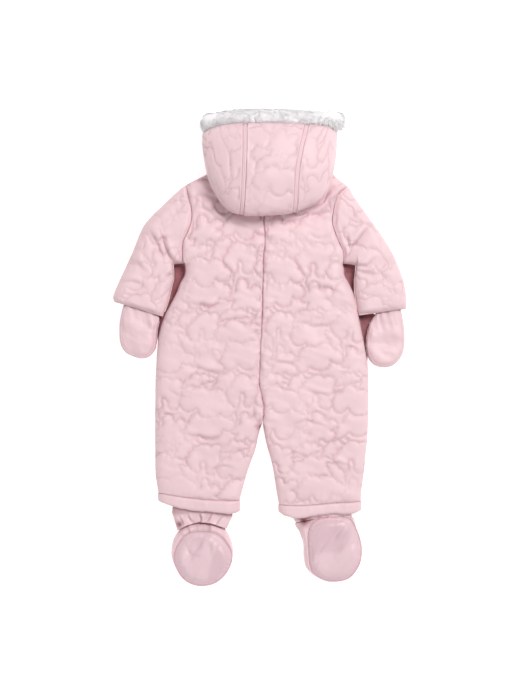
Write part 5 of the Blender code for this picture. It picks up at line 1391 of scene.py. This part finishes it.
BODIES = (
    ("left", LEFT_BACK, LEFT_ARMHOLE, LEFT_HEM, (LEFT_SLEEVE, LEFT_MITTEN), 101),
    ("right", RIGHT_BACK, RIGHT_ARMHOLE, RIGHT_HEM, (RIGHT_SLEEVE, RIGHT_MITTEN), 102),
)
for side_name, table, armhole, hem, _, seed in BODIES:
    node = "back_" + side_name
    settle(node, back_piece(node + "_cloth", table, armhole, hem, seed))
for side_name, table, armhole, hem, beside, seed in BODIES:
    node = "front_" + side_name
    settle(node, front_piece(node + "_cloth", table, beside, armhole, hem, seed + 2))
SLEEVES = (
    ("sleeve_left", LEFT_SLEEVE, LEFT_BACK, LEFT_ARMHOLE, LEFT_SLEEVE_CREASES, -24.0, 105),
    ("sleeve_right", RIGHT_SLEEVE, RIGHT_BACK, RIGHT_ARMHOLE, RIGHT_SLEEVE_CREASES, 24.0, 106),
)
for node, sleeve, table, armhole, folds, turn, seed in SLEEVES:
    piece = sleeve_piece(node + "_cloth", sleeve, table + armhole, armhole, folds, turn, seed)
    settle(node, piece)
for node, side, hem, table in (("leg_band_left", -1, LEFT_HEM, LEFT_BACK),
                               ("leg_band_right", 1, RIGHT_HEM, RIGHT_BACK)):
    settle(node, band_piece(node + "_cloth", hem, table, side, 120 + side))
for node, table, hem, gathers in (("bootie_ankle_left", LEFT_ANKLE, LEFT_HEM, LEFT_GATHERS),
                                  ("bootie_ankle_right", RIGHT_ANKLE, RIGHT_HEM, RIGHT_GATHERS)):
    settle(node, ankle_piece(node + "_cloth", table, hem, gathers, 131))
for side_name, outline, sleeve, seed in (("left", LEFT_MITTEN, LEFT_SLEEVE, 141),
                                         ("right", RIGHT_MITTEN, RIGHT_SLEEVE, 146)):
    mitten_pieces(side_name, outline, (sleeve[-1][:2], sleeve[-1][2:4]), seed)
for side_name, table, seed in (("left", LEFT_BOOTIE, 151), ("right", RIGHT_BOOTIE, 161)):
    node = "bootie_upper_" + side_name
    settle(node, upper_piece(node + "_cloth", table, seed))
    node = "bootie_sole_" + side_name
    settle(node, sole_piece(node + "_cloth", table, seed))

CLOSE = 0.03           # degrees from a hood seam to the cloth beside it
HOOD_PANELS = (
    ("hood_side_left", lambda s: -opening_angle(s), lambda s: seam_angle(s, -1) - CLOSE,
     (False, True), 171),
    ("hood_centre", lambda s: seam_angle(s, -1) + CLOSE, lambda s: seam_angle(s, 1) - CLOSE,
     (True, True), 172),
    ("hood_side_right", lambda s: seam_angle(s, 1) + CLOSE, opening_angle, (True, False), 173),
)
for node, first_angle, last_angle, seams, seed in HOOD_PANELS:
    settle(node, hood_piece(node + "_cloth", first_angle, last_angle, seams, seed))
settle("hood_fur_trim", fur_piece())

# ---- zip -----------------------------------------------------------------------------------------

ZIP_TOP = NECK_Y - 3.0
TAPE_Z = 7.4           # middle of the tapes' thickness
COIL_PITCH = 1.6
WIRE = 0.28            # radius of the coil's wire


def tape_piece(name, side):
    """Woven tape with a slightly raised edge by the coil."""
    ys = spread([ZIP_BOTTOM_Y, ZIP_TOP], 2.0)
    xs = ZIP_X + side * np.array([0.3, 0.9, 2.0, 4.0, 7.0, 10.0, 12.4, 13.0])
    x, y = np.meshgrid(xs, ys)
    thick = np.array([0.25, 0.45, 0.5, 0.42, 0.4, 0.4, 0.4, 0.2]) + 0 * x
    return slab_piece(name, np.dstack((x, y, TAPE_Z + thick)), np.dstack((x, y, TAPE_Z - thick)), TAPE)


def coil_piece():
    """Coil of the zip: one wound wire along the split."""
    turns = int((ZIP_TOP - ZIP_BOTTOM_Y) / COIL_PITCH)
    t = np.linspace(0, turns, turns * 10 + 1)
    x = ZIP_X + 1.8 * np.cos(2 * np.pi * t)
    y = ZIP_BOTTOM_Y + 0.5 + t * (ZIP_TOP - ZIP_BOTTOM_Y - 1.0) / turns
    z = 5.95 + 0.38 * np.sin(2 * np.pi * t)
    path = np.column_stack((x, y, z))
    along = unit(np.gradient(path, axis=0))
    side = unit(np.cross(along, (0.0, 0.0, 1.0)))
    up = np.cross(side, along)
    corner = 2 * np.pi * np.arange(5) / 5
    rings = path[:, None] + WIRE * (side[:, None] * np.cos(corner)[None, :, None]
                                    + up[:, None] * np.sin(corner)[None, :, None])
    return pad_piece("zip_coil_wire", rings, TAPE)


for node, side in (("zip_tape_left", -1), ("zip_tape_right", 1)):
    settle(node, tape_piece(node + "_cloth", side))
settle("zip_coil", coil_piece())
for node in ("zip_slider", "zip_pull_tab"):
    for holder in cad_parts[node].material_slots:
        holder.material = METAL

# ---- stage ---------------------------------------------------------------------------------------

FLOOR_REACH = 6.0
floor_mesh = bpy.data.meshes.new("floor")
corners = [(x * FLOOR_REACH, y * FLOOR_REACH, 0) for x, y in ((-1, -1), (1, -1), (1, 1), (-1, 1))]
floor_mesh.from_pydata(corners, [], [(0, 1, 2, 3)])
paper = bpy.data.materials.new("floor_paper")
paper.use_nodes = True
for key, value in (("Base Color", (0.95, 0.95, 0.95, 1)), ("Roughness", 0.9), ("Specular IOR Level", 0.0),
                   ("Emission Color", (1, 1, 1, 1)), ("Emission Strength", 0.57)):
    paper.node_tree.nodes["Principled BSDF"].inputs[key].default_value = value
floor_mesh.materials.append(paper)
floor = bpy.data.objects.new("floor", floor_mesh)
bpy.context.scene.collection.objects.link(floor)
floor.location.z = -0.0005


def area_light(name, place, aim, size, power):
    """Round lamp at a place, aimed at another."""
    data = bpy.data.lights.new(name, "AREA")
    data.shape = "DISK"
    data.size = size
    data.energy = power
    lamp = bpy.data.objects.new(name, data)
    lamp.location = place
    lamp.rotation_euler = (Vector(aim) - Vector(place)).to_track_quat("-Z", "Y").to_euler()
    bpy.context.scene.collection.objects.link(lamp)


area_light("key", (1.15, 1.35, 2.6), (0, 0, 0), 1.1, 67.0)
area_light("fill", (-0.6, -1.4, 1.5), (0, 0.05, 0), 1.6, 10.0)

world = bpy.data.worlds.new("studio")
world.use_nodes = True
world.node_tree.nodes["Background"].inputs["Color"].default_value = (1.0, 0.99, 0.99, 1)
world.node_tree.nodes["Background"].inputs["Strength"].default_value = 0.34
bpy.context.scene.world = world
bpy.context.scene.view_settings.view_transform = "Standard"

CAMERA_HEIGHT = 2.4
AIM = ((-10.5 + SHIFT_X) * MM, (4.9 + SHIFT_Y) * MM, 0.0)
FRAME_HEIGHT = 0.952
camera_data = bpy.data.cameras.new("camera")
camera_data.sensor_fit = "VERTICAL"
camera_data.sensor_height = 24.0
camera_data.lens = 24.0 * CAMERA_HEIGHT / FRAME_HEIGHT
camera_data.clip_end = 20.0
camera = bpy.data.objects.new("camera", camera_data)
camera.location = (AIM[0], AIM[1], CAMERA_HEIGHT)
bpy.context.scene.collection.objects.link(camera)
bpy.context.scene.camera = camera
